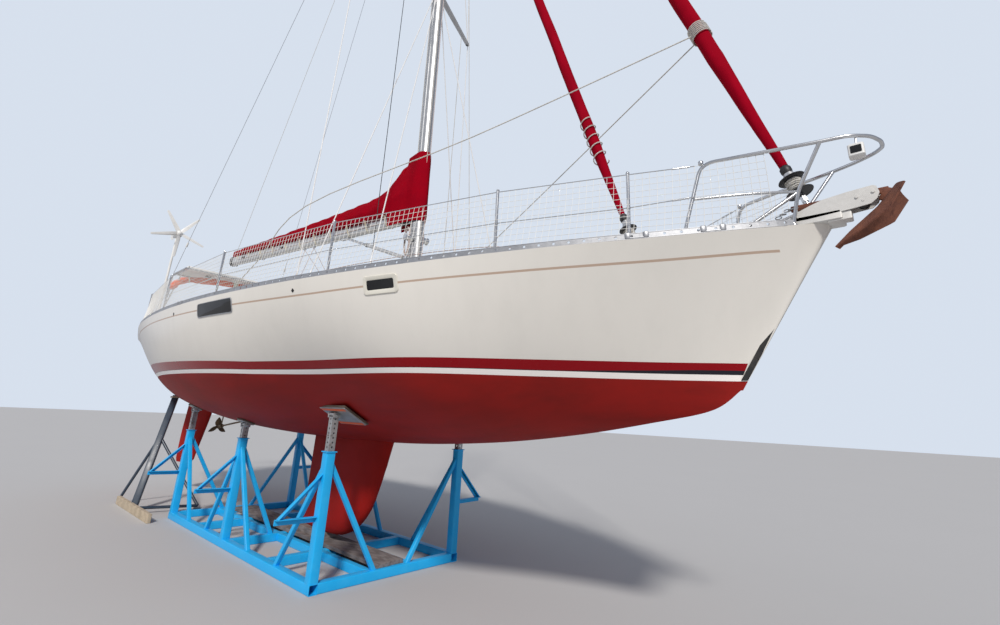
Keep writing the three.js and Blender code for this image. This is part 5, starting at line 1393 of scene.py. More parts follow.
class YACHT_OT_mast(bpy.types.Operator):
    """Mast, spreaders, shrouds, backstays and halyards"""
    bl_idname = "yacht.mast"
    bl_label = "Mast and standing rigging"

    def execute(self, context):
        sizes = context.scene.yacht_sizes
        form = Form()

        def ring(z, scale_long=1.0, scale_wide=1.0):
            points = []
            for k in range(64):
                angle = tau * (k + 0.5) / 64
                a = MAST_LONG / 2 * cos(angle) * scale_long
                b = MAST_WIDE / 2 * sin(angle) * scale_wide
                groove = 0.0
                if k in (31, 32):
                    groove = 0.016
                elif k in (13, 50, 20, 43):
                    groove = 0.005
                pull = 1 - groove / hypot(a, b)
                points.append((mast_x(z) + a * pull, b * pull, z))
            return points

        taper = ((MAST_TOP - 1.2, 0.33), (MAST_TOP - 0.6, 0.66), (MAST_TOP, 1.0))
        form.shell([ring(z) for z in np.linspace(MAST_FOOT, MAST_TOP - 1.8, 12)]
                   + [ring(z, 1 - 0.2 * s, 1 - 0.15 * s) for z, s in taper])
        form.slab((1.444, -0.11, 3.25), (1.764, 0.11, 3.33), 1, 0.02)
        for level, (z, *_) in enumerate(SPREADERS):
            for side in (-1, 1):
                root = Vector((mast_x(z) - 0.02, side * 0.02, z))
                tip = spreader_tip(level, side)
                chord = 0.095 - 0.02 * level
                section_ring = [(x * chord / 2, y * 0.015) for x, y in circle(1.0, 20)]
                path = [root.lerp(tip, s) for s in (0, 0.1, 0.5, 0.96, 1.0)]
                form.sweep(path, section_ring, up=(0, 0, 1), scales=[1.1, 1.05, 0.95, 0.8, 0.7])
                form.rod(tip - Vector((0, side * 0.045, 0.004)), tip + Vector((0, side * 0.004, 0)), 0.022, 1, 14,
                         0.016)
                form.slab((mast_x(z) - 0.07, min(side * 0.06, side * 0.09), z - 0.05),
                          (mast_x(z) + 0.03, max(side * 0.06, side * 0.09), z + 0.05), 0, 0.01)
        for z, half in ((GOOSENECK.z, 0.06), (VANG_Z, 0.032)):
            for way in (-1, 1):
                low, high = sorted((z + way * (half + 0.0003), z + way * (half + 0.0243)))
                form.slab((1.399, -0.026, low), (mast_x(z) - 0.04, 0.026, high), 2, 0.01)
            form.bar((mast_x(z) - 0.1, 0, z - half - 0.06), (mast_x(z) - 0.1, 0, z + half + 0.06), 0.08, 0.02, 2,
                     up=(1, 0, 0))
        form.slab((mast_x(MAST_TOP) - 0.19, -0.045, MAST_TOP - 0.06),
                  (mast_x(MAST_TOP) + 0.13, 0.045, MAST_TOP + 0.03), 0, 0.012)
        for dx in (-0.15, 0.09):
            form.rod((mast_x(MAST_TOP) + dx, -0.03, MAST_TOP - 0.04), (mast_x(MAST_TOP) + dx, 0.03, MAST_TOP - 0.04),
                     0.045, 1, 20)
        top = Vector((mast_x(MAST_TOP), 0, MAST_TOP + 0.03))
        form.rod(top + Vector((-0.06, 0.03, -0.02)), top + Vector((-0.06, 0.03, 0.06)), 0.014, 1, 12)
        form.rod(top + Vector((-0.06, 0.03, 0.05)), top + Vector((-0.06, 0.03, 0.45)), 0.005, 3, 8, 0.003)
        form.lathe(top + Vector((0.01, 0, 0)), UP,
                   ((0, 0.03), (0.02, 0.034), (0.03, 0.03), (0.07, 0.029), (0.085, 0.01)), 4, 20)
        form.rod(top + Vector((0.09, 0, 0.0)), top + Vector((0.4, -0.02, 0.1)), 0.005, 1, 8)
        form.rod(top + Vector((0.4, -0.02, 0.08)), top + Vector((0.4, -0.02, 0.17)), 0.01, 1, 10)
        for k in range(3):
            a = tau * k / 3 + 0.4
            cup = top + Vector((0.4 + 0.05 * cos(a), -0.02 + 0.05 * sin(a), 0.165))
            form.ball(cup, 0.014, 1, 10)
            form.rod(top + Vector((0.4, -0.02, 0.165)), cup, 0.003, 1, 6)
        for z in (9.6, 13.2):
            form.slab((mast_x(z) + 0.09, -0.04, z), (mast_x(z) + 0.17, 0.04, z + 0.11), 1, 0.02)
        for side, z in ((-1, 4.06), (1, 4.1)):
            x = mast_x(z)
            form.bar((x, side * 0.065, z - 0.07), (x, side * 0.065, z + 0.09), 0.12, 0.04, 0, 0.012, up=(1, 0, 0))
            drum = [(0, 0.055), (0.01, 0.055), (0.03, 0.048), (0.06, 0.04), (0.09, 0.048), (0.105, 0.052),
                    (0.115, 0.03)]
            form.lathe((x, side * 0.085, z), (0, side, 0), drum, 2, 28)
        for name, stay in STAYS.items():
            low, high, _ = stay_line(name)
            form.rod(low.lerp(high, stay["rolled"]) + UP * 0.0003, high, 0.006, 2, 10)
            form.bar(high - Vector((0.03, 0, 0.03)), high + Vector((0.03, 0, -0.01)), 0.03, 0.05, 2, 0.008)
        form.piece("mast_tube", "aluminium black stainless white cushion_white", slot="aluminium", replaces=["mast"],
                   sharp=30)
        self.wires(sizes)
        self.halyards(sizes)
        return {"FINISHED"}

    def wires(self, sizes):
        for name, side in SIDES:
            form = Form()
            feet = {x: Vector((x, side * 1.3, deck_z(x, 1.3) + 0.06)) for x in (1.0, 1.18)}
            tips = [spreader_tip(level, side) + Vector((0, side * -0.012, 0)) for level in (0, 1)]
            runs = ((feet[1.0], tips[0], tips[1], Vector((mast_x(17.44), side * 0.05, 17.44))),
                    (feet[1.18], Vector((mast_x(8.3), side * 0.068, 8.3))),
                    (tips[0], Vector((mast_x(12.74), side * 0.066, 12.74))),
                    (Vector((2.3, side * 1.145, deck_z(2.3, 1.145) + 0.04)),
                     Vector((mast_x(8.3) + 0.05, side * 0.066, 8.22))))
            for run in runs:
                form.tube(run, sizes.shroud, 0, 8)
                if run[0].z < 4:
                    turnbuckle(form, run[0], run[1] - run[0])
            for run in runs[1:]:
                form.bar(run[-1] - UP * 0.06, run[-1] + UP * 0.05, 0.02, 0.05, up=(0, 1, 0))
            plate = feet[1.0].lerp(feet[1.18], 0.33)
            form.slab((plate.x - 0.13, plate.y - 0.018, plate.z - 0.1), (plate.x + 0.15, plate.y + 0.018, plate.z), 0,
                      0.012)
            form.slab((plate.x - 0.16, plate.y - 0.05, plate.z - 0.066),
                      (plate.x + 0.18, plate.y + 0.05, plate.z - 0.052), 0, 0.02)
            # The shrouds take the wire painted near white, a painted glint of sun on stainless.
            form.piece(f"shroud_wires_{name}", "glint_white_wire", slot="stainless", replaces=[f"shrouds_{name}"])
        form = Form()
        back = mast_x(MAST_TOP) - 0.19
        form.slab((back - 0.04, -0.03, 17.626), (back - 0.0003, 0.03, 17.654))
        for side in (-1, 1):
            foot = Vector((-5.984, side * 1.246, 3.012))
            head = Vector((back - 0.022, side * 0.018, 17.64))
            way = (head - foot).normalized()
            form.tube([foot, head], sizes.wire, 0, 8)
            form.slab(foot - Vector((0.012, 0.012, 0.04)), foot + Vector((0.012, 0.012, 0.05)), 0, 0.004)
            turnbuckle(form, foot + way * 0.06, way)
            for d in (2.2, 13.2):
                form.rod(foot + way * d, foot + way * (d + 0.1), 0.018, 1)
        form.piece("backstay_wires", "stainless white", slot="stainless", replaces=["backstays"])

    def halyards(self, sizes):
        """Ropes that run down the mast, and flag halyards from the deck up to the lower spreaders."""
        form = Form()
        for dx, y, mark in ((0.125, -0.03, 0), (0.128, 0.02, 1), (-0.03, -0.085, 0), (0.02, 0.088, 2),
                            (-0.06, 0.083, 0)):
            low, high = 3.42 + abs(y), 17.0 if abs(y) < 0.05 else 15.6
            form.tube([(mast_x(z) + dx, y * (1 if z < 15.9 else 0.85), z) for z in (low, 6, 9, 12, high)],
                      sizes.rope * 0.85, mark, 8)
        spots = (((1.5, -0.6, 3.42), (1.47, -0.6, 7.98), 2), ((1.5, 0.6, 3.42), (1.47, 0.6, 7.98), 0),
                 ((1.3, 1.42, 3.05), (1.4, 0.09, 16.2), 0))
        for low, high, mark in spots:
            form.tube([low, high], sizes.rope * 0.8, mark, 8)
        coil = [Vector((mast_x(4.3) - 0.02 + 0.05 * cos(a), -0.13 - 0.014 * sin(a * 0.13),
                        4.02 + 0.2 * sin(a))) for a in np.linspace(0, tau * 5, 120)]
        form.tube(coil, sizes.rope * 0.9, 1, 8)
        form.piece("halyards", "rope red_rope black_rope", sharp=60)


class YACHT_OT_headsails(bpy.types.Operator):
    """Rolled genoa and staysail with their furling drums"""
    bl_idname = "yacht.headsails"
    bl_label = "Rolled headsails"

    def execute(self, context):
        sizes = context.scene.yacht_sizes
        for name, stay in STAYS.items():
            foot, head, along = stay_line(name)
            side = Vector((0, 1, 0))
            front = side.cross(along).normalized()
            high = (head - foot).length * stay["rolled"]
            start = stay["start"]
            form = Form()
            rings = []
            count = 240
            for i in range(count + 1):
                share = i / count
                d = start + (high - 0.06 - start) * share
                span = 2.5
                a, b, c = stay["thick"]
                radius = a + (b - a) * min(1, (d - start) / span) if d < start + span else \
                    b + (c - b) * (d - start - span) / (high - start - span)
                radius *= min(1.0, 0.45 + 6 * share, 0.5 + 8 * (1 - share))
                ring = []
                for k in range(28):
                    angle = tau * k / 28
                    lap = ((k / 28 - d * 0.55) % 1.0)
                    fold = 0.055 * (1 - lap) + 0.03 * sin(angle * 3 + d * 4.1) + 0.02 * sin(angle * 5 - d * 7.7)
                    wobble = 0.04 * noise.noise(Vector((cos(angle), sin(angle), d * 2.2)))
                    r = radius * (0.94 + fold * 0.7 + wobble)
                    ring.append(foot + along * d + (front * cos(angle) + side * sin(angle)) * r)
                rings.append(ring)
            form.shell(rings)
            low, drum = stay["low"], stay["drum"]

            def turned(profile, mark, sides=28):
                form.lathe(foot, along, profile, mark, sides)

            turned(((low, drum * 0.5), (low, drum * 0.96), (low + 0.005, drum), (low + 0.01, drum),
                    (low + 0.014, drum * 0.9), (low + 0.014, drum * 0.5)), 1)
            turned(((low + 0.013, drum * 0.5), (low + 0.127, drum * 0.5)), 3)
            turned(((low + 0.126, drum * 0.5), (low + 0.126, drum * 0.94), (low + 0.132, drum),
                    (low + 0.138, drum * 0.97), (low + 0.141, drum * 0.6)), 1)
            turned(((low + 0.139, 0.045), (low + 0.17, 0.042), (low + 0.2, 0.03), (low + 0.25, 0.026),
                    (start + 0.01, 0.024)), 2)
            turned(((start - 0.07, 0.034), (start - 0.05, 0.04), (start - 0.02, 0.04), (start - 0.005, 0.03)), 1)
            turned(((high - 0.08, 0.03), (high - 0.06, 0.034), (high - 0.02, 0.034), (high - 0.0003, 0.02)), 1)
            wrap = []
            for k in range(150):
                turn = tau * k / 18
                wrap.append(foot + along * (low + 0.02 + 0.098 * abs(((k / 150 * 3) % 2) - 1))
                            + (front * cos(turn) + side * sin(turn)) * drum * 0.56)
            form.tube(wrap, 0.005, 3, 6)
            clew = 2.05 if name == "genoa" else 1.2
            turns = []
            for k in range(stay["turns"] * 16):
                turn = tau * k / 16
                turns.append(foot + along * (clew + 0.02 * k / 16 * (1 if name == "genoa" else 6))
                             + (front * cos(turn) + side * sin(turn)) * (stay["thick"][1] + 0.009))
            form.tube(turns, sizes.rope, 3, 8)
            form.piece(f"rolled_{name}", "sleeve black aluminium rope", f"{name}_roll", "crimson_cloth",
                       [f"{name}_furled"], sharp=50)
            link = Form()
            link.rod(foot - along * 0.02, foot + along * (low - 0.0003), 0.018, 0, 20)
            link.bar(foot - along * 0.07, foot + along * 0.11, 0.026, 0.04, 0, 0.008, up=(1, 0, 0))
            link.rod(foot + Vector((0, -0.024, 0)), foot + Vector((0, 0.024, 0)), 0.009, 0, 12)
            link.rod(foot + along * 0.14, foot + along * 0.19, 0.024, 0, 6)
            link.piece(f"{name}_toggle", "stainless", slot="stainless", replaces=[f"{name}_stay_foot"])
        return {"FINISHED"}


# Stowed sail: distance along the boom, half width and height of its top above the boom's middle
COVER = ((0.15, 0.165, 0.84), (0.3, 0.165, 0.76), (0.52, 0.15, 0.56), (0.8, 0.145, 0.45),
         (1.7, 0.135, 0.385), (3.2, 0.115, 0.3), (4.9, 0.085, 0.235), (5.18, 0.06, 0.215))


def cover_half(along, height):
    """Half width of the stowed sail at a distance along the boom and a height above its middle."""
    _, half, top = mix_rows(COVER, along)
    share = (height - 0.08) / (top - 0.08)
    table = ((0.0, 0.8), (0.3, 1.0), (0.68, 0.72), (1.0, 0.22))
    return half * mix_rows(table, max(0.0, min(1.0, share)))[1]


class YACHT_OT_boom(bpy.types.Operator):
    """Boom, vang, sail cover, mainsheet and topping lift"""
    bl_idname = "yacht.boom"
    bl_label = "Boom and stowed sail"

    def execute(self, context):
        sizes = context.scene.yacht_sizes
        form = Form()
        rings = []
        for along in (0.076, 0.09, 1.5, 3.0, 5.23, 5.25):
            trim = 0.97 if along in (0.076, 5.25) else 1.0
            ring = []
            for k in range(40):
                angle = tau * (k + 0.5) / 40
                c, s = cos(angle), sin(angle)
                y = BOOM_HALF_WIDE * copysign(abs(c) ** 0.8, c) * trim
                z = BOOM_HALF_HIGH * copysign(abs(s) ** 0.8, s) * trim
                if k in (9, 10):
                    z -= 0.012
                ring.append(boom_point(along, y, z))
            rings.append(ring)
        form.shell(rings)
        for along in (0.12, 5.2):
            cap = [[boom_point(along + d, y * g, z * g) for y, z in rounded_ring(0.126, 0.196, 0.055, 5)]
                   for d, g in ((-0.05, 1.0), (0.045, 1.0), (0.06, 0.9))]
            form.shell(cap, 2)
        form.rod(GOOSENECK - UP * 0.06, GOOSENECK + UP * 0.06, 0.016, 1, 20)
        form.bar(GOOSENECK, boom_point(0.1, 0, 0.002), 0.026, 0.06, 1, 0.008, up=(0, 0, 1))
        vang_foot = Vector((GOOSENECK.x, 0, VANG_Z))
        vang_head = boom_point(VANG_ALONG, 0, -0.075)
        form.bar(vang_foot, vang_foot.lerp(vang_head, 0.07), 0.02, 0.024, 1)
        form.rod(vang_foot.lerp(vang_head, 0.055), vang_foot.lerp(vang_head, 0.62), 0.026, 0, 20)
        form.rod(vang_foot.lerp(vang_head, 0.6), vang_head, 0.018, 1, 20)
        form.rod(vang_foot.lerp(vang_head, 0.6), vang_foot.lerp(vang_head, 0.63), 0.031, 2, 20)
        form.rod(vang_foot - UP * 0.032, vang_foot + UP * 0.032, 0.022, 1)
        form.bar(boom_point(1.42, 0, -0.1), boom_point(1.58, 0, -0.1), 0.05, 0.03, 1, 0.008)
        for along in (2.35, 2.62, 4.0, 5.05):
            form.bar(boom_point(along - 0.03, 0, -0.105), boom_point(along + 0.03, 0, -0.105), 0.03, 0.03, 1)
        for side in (-1, 1):
            form.tube([boom_point(a, side * 0.066, -0.02) for a in (0.4, 2.4, 4.9)], 0.005, 3, 8)
            for along in (0.9, 3.3, 4.7):
                form.bar(boom_point(along - 0.05, side * 0.062, 0.0), boom_point(along + 0.05, side * 0.062, 0.0),
                         0.014, 0.05, 2, 0.005)
        form.piece("boom_spar", "boom stainless black red_rope", "boom", "aluminium", ["boom_and_vang"], sharp=34)
        self.cover()
        self.wrap()
        self.sheets(sizes)
        return {"FINISHED"}

    def cover(self):
        """The stowed sail under its canvas: crowned, with soft folds and a lip over the boom."""
        rings = []
        for along in np.concatenate([np.linspace(0.15, 1.2, 36), np.linspace(1.23, 5.18, 100)]):
            top = mix_rows(COVER, along)[2]
            ring = []
            for k in range(49):
                share = k / 48 * 2 - 1
                side, climb = copysign(1, share), 1 - abs(share)
                height = 0.08 + (top - 0.08) * sin(climb * pi / 2) ** 1.15
                y = cover_half(along, height) * (1 if climb < 0.9 else sqrt(max(0.0, (1 - climb) / 0.1)))
                sag = 0.012 * sin(along * 7.5 + side) * (1 - climb) + 0.006 * sin(along * 19 + climb * 5)
                ripple = 0.01 * noise.noise(Vector((along * 3.1, climb * 2.2, side * 3)))
                pleat = 0.01 * sin(along * 30 - climb * 6) * max(0.0, 1 - along / 1.4) * climb
                ring.append(boom_point(along, side * (y + sag + ripple + pleat), height + ripple * 0.6))
            ring += [boom_point(along, y, 0.074) for y in (0.05, 0.0, -0.05)]
            rings.append(ring)
        form = Form().shell(rings)
        for along in np.linspace(0.45, 4.95, 11):
            half = mix_rows(COVER, along)[1]
            path = [boom_point(along, half * 0.8 * s, 0.075 - 0.16 * (1 - abs(s) ** 3))
                    for s in np.linspace(-1, 1, 13)]
            form.sweep(path, rounded_ring(0.022, 0.004, 0.0018, 2), 1)
        form.piece("sail_cover_canvas", "crimson webbing", "boom", "crimson_cloth", ["sail_cover"], sharp=60)

    def wrap(self):
        """Canvas from the cover round the front of the mast, shaped to the boom where it stands."""
        outer, rows = [], 30
        for i in range(rows + 1):
            z = 4.33 + 1.07 * i / rows
            share = i / rows
            tight = 0.018 if i in (0, rows) else 0.03 + 0.012 * sin(pi * share)
            reach = mix_rows(((0.0, 0.34), (0.55, 0.4), (0.8, 0.24), (1.0, 0.1)), share)[1]
            line = []
            for side in (-1, 1):
                back = boom_point(reach, side * (cover_half(max(0.15, reach), z - GOOSENECK.z - 0.01) + 0.01), 0)
                back.z = z
                mid = boom_point(0.12, side * (cover_half(0.15, z - GOOSENECK.z) * 0.98 + 0.008), 0)
                mid.z = z
                if z > 5.22:
                    pinch = (z - 5.22) / 0.18
                    back.y *= 1 - 0.75 * pinch
                    mid.y = mid.y * (1 - pinch) + side * 0.06 * pinch
                cheek = Vector((mast_x(z) + 0.005, side * (MAST_WIDE / 2 + tight), z))
                quarter = Vector((mast_x(z) + 0.075, side * (MAST_WIDE / 2 + tight) * 0.74, z))
                line.append([back, mid, cheek, quarter])
            nose = Vector((mast_x(z) + MAST_LONG / 2 + tight, 0, z))
            path = smooth_path(line[0] + [nose] + line[1][::-1], 5)
            wave = [0.006 * noise.noise(Vector((p.x * 6, p.y * 6, z * 3))) for p in path]
            outer.append([p + Vector((w, w * copysign(1, p.y), 0)) for p, w in zip(path, wave)])
        form = Form().shell(outer, caps=False, closed=False)
        piece = form.build("cover_wrap", [finish("crimson")], 60)
        thick = piece.modifiers.new("Cloth", "SOLIDIFY")
        thick.thickness = 0.004
        thick.offset = 0
        evaluated_copy(piece)
        soften(piece.data, 60)
        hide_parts("cover_collar")
        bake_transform(piece)

    def sheets(self, sizes):
        """Falls of the mainsheet from the boom down, the topping lift and the track."""
        form = Form()
        for along, x, y in ((2.35, -0.95, -0.47), (2.35, -0.85, 0.47), (2.62, -0.98, -0.5), (2.62, -0.92, 0.5)):
            top = boom_point(along, 0, -0.12)
            low = Vector((x, y, roof_section(x)[2] + 0.05))
            form.tube([top, top.lerp(low, 0.5), low], sizes.rope * 0.8, 0, 8)
            form.ball(low, 0.024, 1)
        piece = form.build("mainsheet", [finish("red_rope"), finish("black")], 60)
        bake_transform(piece)
        lift = Form()
        lift.tube([(1.2, -0.02, 17.6), boom_point(5.19, 0, 0.12)], 0.004, 0, 8)
        lift.rod(boom_point(5.19, 0, 0.09), boom_point(5.19, 0, 0.16), 0.01, 1, 10)
        lift.piece("topping_lift", "rope stainless", "boom")
        track = Form()
        track.bar((-1.05, -0.75, roof_section(-1.05)[2] + 0.028), (-1.05, 0.75, roof_section(-1.05)[2] + 0.028), 0.032,
                  0.022)
        for y in (-0.74, -0.3, 0.3, 0.74):
            low = roof_section(-1.05)[2] - 0.03
            track.bar((-1.05, y, low), (-1.05, y, low + 0.055), 0.04, 0.04)
        track.piece("mainsheet_track", "black")


# Fluke of the anchor from its tip up: share of its length, x, z, half width and depth
FLUKE = ((0.0, 6.306, 2.985, 0.006, 0.004), (0.3, 6.4, 3.075, 0.07, 0.055),
         (0.7, 6.56, 3.205, 0.14, 0.095), (1.0, 6.67, 3.33, 0.165, 0.07))


class YACHT_OT_bow(bpy.types.Operator):
    """Bow roller, anchor, pulpit and bow light"""
    bl_idname = "yacht.bow"
    bl_label = "Bow"

    def execute(self, context):
        form = Form()
        outline = [(6.06, 3.196), (6.075, 3.226), (6.12, 3.262), (6.2, 3.292), (6.28, 3.318), (6.42, 3.336),
                   (6.56, 3.346), (6.58, 3.336), (6.592, 3.29), (6.575, 3.25), (6.54, 3.222), (6.44, 3.212),
                   (6.33, 3.205), (6.18, 3.196)]
        for y in (ROLLER_Y - 0.046, ROLLER_Y + 0.046):
            place = Matrix(((1, 0, 0, 0), (0, 0, 1, y - 0.004), (0, 1, 0, 0), (0, 0, 0, 1)))
            form.plate(outline, place, 0.008)
        form.slab((6.04, ROLLER_Y - 0.05, 3.16), (6.38, 0.06, 3.226), 0, 0.012)
        form.rod((6.5, ROLLER_Y - 0.053, ROLLER_Z), (6.5, ROLLER_Y + 0.053, ROLLER_Z), 0.009)
        form.lathe((6.5, ROLLER_Y - 0.038, ROLLER_Z), (0, 1, 0),
                   ((0, 0.034), (0.008, 0.036), (0.02, 0.027), (0.056, 0.027), (0.068, 0.036), (0.076, 0.034)), 1, 28)
        form.slab((6.29, ROLLER_Y - 0.04, 3.15), (6.43, ROLLER_Y + 0.04, 3.21), 0, 0.008)
        for x, z in ((6.11, 3.222), (6.47, 3.285), (6.56, 3.3)):
            form.rod((x, ROLLER_Y - 0.058, z), (x, ROLLER_Y + 0.058, z), 0.01, 0, 12)
        form.piece("anchor_roller", "satin_steel black", slot="stainless", replaces=["bow_roller"])
        self.anchor()
        self.pulpit(context)
        return {"FINISHED"}

    def anchor(self):
        down = Vector((0.707, 0, -0.707))
        rings = []
        for share in np.linspace(0, 1, 18):
            _, x, z, half, deep = mix_rows(FLUKE, share)
            ring = []
            for k in range(17):
                s = k / 16 * 2 - 1
                curl = deep * abs(s) ** 1.5
                ring.append(Vector((x, ROLLER_Y + half * s, z)) + down * curl)
            for k in range(16, -1, -1):
                s = k / 16 * 2 - 1
                curl = deep * abs(s) ** 1.5 + 0.01 + 0.026 * (1 - abs(s)) ** 2
                ring.append(Vector((x, ROLLER_Y + half * s * 0.995, z)) + down * curl)
            rings.append(ring)
        form = Form().shell(rings)
        shank_z = ROLLER_Z + 0.034 + 0.022 + 0.0003
        form.bar((6.08, ROLLER_Y, shank_z), (6.64, ROLLER_Y, shank_z), 0.022, 0.044)
        form.bar((6.64, ROLLER_Y, 3.322), (6.6, ROLLER_Y, 3.245), 0.026, 0.05)
        form.rod((6.12, ROLLER_Y - 0.022, shank_z), (6.12, ROLLER_Y + 0.022, shank_z), 0.01, 1, 12)
        shackle = [Vector((6.12 - 0.055 * sin(a), ROLLER_Y + 0.02 * cos(a), shank_z))
                   for a in np.linspace(0, pi, 13)]
        form.tube(shackle, 0.006, 1)
        for k in range(19):
            x = 6.055 - 0.03 * k
            at = Vector((x, ROLLER_Y + 0.004 * sin(k * 2.1), max(deck_z(x, ROLLER_Y) + 0.036, shank_z - 0.022 * k)))
            ring = []
            for a in np.linspace(0, tau, 13):
                across = Vector((0, 0.01 * sin(a), 0)) if k % 2 else Vector((0, 0, 0.01 * sin(a)))
                ring.append(at + Vector((0.021 * cos(a), 0, 0)) + across)
            form.tube(ring, 0.004, 1, 8)
        form.piece("plough_anchor_rusty", "rust galvanised", slot="rusty_iron", replaces=["plough_anchor"], sharp=45)

    def pulpit(self, context):
        tube = context.scene.yacht_sizes.tube
        form = Form()
        for side in (-1, 1):
            def at(x, y, z):
                return Vector((x, side * y, z))
            top, bend = at(5.6, 0.47, 3.67), at(6.33, 0.262, 3.69)
            form.tube(bent_path([at(5.47, 0.55, deck_z(5.47, 0.55)), top, bend, at(6.49, 0.215, 3.7),
                                 at(6.6, 0.135, 3.695), at(6.645, 0.05, 3.683), Vector((6.648, 0, 3.68))], 0.1, 6),
                      tube, 0, 14)
            form.tube(bent_path([at(6.095, 0.15, deck_z(6.095, 0.15)), at(6.15, 0.175, 3.4), bend]), tube, 0, 14)
            form.tube(smooth_path([at(5.535, 0.508, 3.38), at(5.85, 0.36, 3.392), at(6.15, 0.175, 3.4)]), tube * 0.8,
                      0, 12)
            form.tube([at(6.14, 0.172, 3.39), at(5.8, 0.335, deck_z(5.8, 0.335))], tube, 0, 14)
            for x, y in ((5.47, 0.55), (6.095, 0.15), (5.8, 0.335)):
                z = deck_z(x, y)
                foot_plate(form, x, side * y, 0.008, 0.036)
                form.rod(at(x, y, z + 0.006), at(x, y, z + 0.03), 0.018)
            form.ball(top, tube * 1.25, 0, 14)
            form.rod(at(5.6, 0.47, 3.69), at(5.6, 0.47, 3.66), 0.018, 0, 14)
        form.piece("pulpit_tubes", "stainless", slot="stainless", replaces=["pulpit"], sharp=50)
        light = Form()
        light.bar((6.52, -0.175, 3.7), (6.515, -0.185, 3.62), 0.016, 0.01, 1, 0.003)
        light.slab((6.47, -0.235, 3.535), (6.56, -0.155, 3.625), 0, 0.012)
        light.slab((6.484, -0.24, 3.555), (6.546, -0.228, 3.607), 2, 0.008)
        light.piece("bow_light", "white stainless acrylic")


def foot_plate(form, x, y, high, radius, sides=20):
    """A round plate under a leg, let a little into the deck."""
    z = deck_z(x, abs(y))
    form.rod((x, y, z - 0.004), (x, y, z + high), radius, 0, sides)


def rail_point(x, side, high):
    half, height = sheer(x)
    return Vector((x, side * (half - 0.074), height + high))


class YACHT_OT_lifelines(bpy.types.Operator):
    """Stanchions, lifelines, pushpits and the net along them"""
    bl_idname = "yacht.lifelines"
    bl_label = "Lifelines and net"

    def execute(self, context):
        sizes = context.scene.yacht_sizes
        for name, side in SIDES:
            form = Form()
            for x in STANCHION_X:
                form.rod(rail_point(x, side, 0.01), rail_point(x, side, 0.568), 0.0125)
                foot = rail_point(x, side, 0)
                foot_plate(form, x, foot.y, 0.01, 0.04)
                foot.z = deck_z(x, abs(foot.y))
                form.rod(foot + UP * 0.008, foot + UP * 0.07, 0.017)
                form.ball(rail_point(x, side, 0.572), 0.015, 0, 14)
                form.rod(rail_point(x, side, 0.272), rail_point(x, side, 0.288), 0.016, 0, 14)
            for high, front in ((0.56, Vector((5.56, side * 0.49, 3.655))), (0.28, Vector((5.56, side * 0.52, 3.39)))):
                line = [front] + [rail_point(x, side, high) for x in (*STANCHION_X, -4.86)]
                form.tube(line, 0.004, 0, 8)
                way = (line[1] - front).normalized()
                form.rod(front + way * 0.04, front + way * 0.16, 0.007, 0, 10)
            form.piece(f"stanchions_and_lines_{name}", "stainless", slot="stainless", replaces=[f"stanchions_{name}"])
            self.pushpit(name, side, sizes)
            self.net(name, side, sizes)
        return {"FINISHED"}

    def pushpit(self, name, side, sizes):
        corner = Vector((-5.95, side * 1.16, 3.59))
        front = rail_point(-4.881, side, 0.6)
        gate = Vector((-5.96, side * 0.56, 3.6))
        drop = Vector((0, 0, -0.29))
        form = Form()
        form.tube(bent_path([rail_point(front.x, side, 0.01), front, corner, gate, (gate.x, gate.y, 2.99)], 0.12, 6),
                  sizes.tube, 0, 14)
        form.tube(bent_path([front + drop, corner + drop, gate + drop], 0.12, 6), sizes.tube * 0.8, 0, 12)
        form.rod((corner.x + 0.02, corner.y - side * 0.01, 2.99), corner + Vector((0.02, -side * 0.01, 0)), sizes.tube,
                 0, 14)
        post = rail_point(-5.4, side, 0.01)
        form.rod(post, (-5.4, (front.y + corner.y) / 2 - side * 0.006, 3.598), sizes.tube, 0, 14)
        for foot in (rail_point(front.x, side, 0), post, Vector((gate.x, gate.y, 0)),
                     Vector((corner.x + 0.02, corner.y - side * 0.01, 0))):
            foot_plate(form, foot.x, foot.y, 0.009, 0.036)
        form.piece(f"pushpit_tubes_{name}", "stainless", slot="stainless", replaces=[f"pushpit_{name}"], sharp=50)

    def net(self, name, side, sizes):
        """A grid of points between the toe rail and the upper lifeline; its edges become the cord."""
        stops = [(6.0, side * 0.35, 3.668), (5.56, side * 0.49, 3.655)]
        stops += [tuple(rail_point(x, side, 0.56)) for x in (*STANCHION_X, -4.86)]
        top = []
        for a, b in zip(stops, stops[1:]):
            a, b = Vector(a), Vector(b)
            count = max(1, round((b - a).length / sizes.net_cell))
            top += [a.lerp(b, k / count) for k in range(count)]
        top.append(Vector(stops[-1]))
        rows = round(0.53 / sizes.net_cell)
        points, faces = [], []
        for p in top:
            half, height = sheer(p.x)
            low = Vector((p.x, side * (half - 0.02), height + 0.046))
            for k in range(rows + 1):
                share = k / rows
                points.append(low.lerp(p, share) + Vector((0, -side * 0.012 * sin(pi * share), 0)))
        for i in range(len(top) - 1):
            for k in range(rows):
                a, b = i * (rows + 1) + k, (i + 1) * (rows + 1) + k
                faces.append((a, b, b + 1, a + 1))
        mesh = bpy.data.meshes.new("net")
        mesh.from_pydata([tuple(p) for p in points], [], faces)
        net = linked(f"net_{name}", mesh)
        grow(net, TREES["net"], {"Cord": sizes.net_cord, "Slack": sizes.net_slack, "Material": finish("net")})
        settle(net)


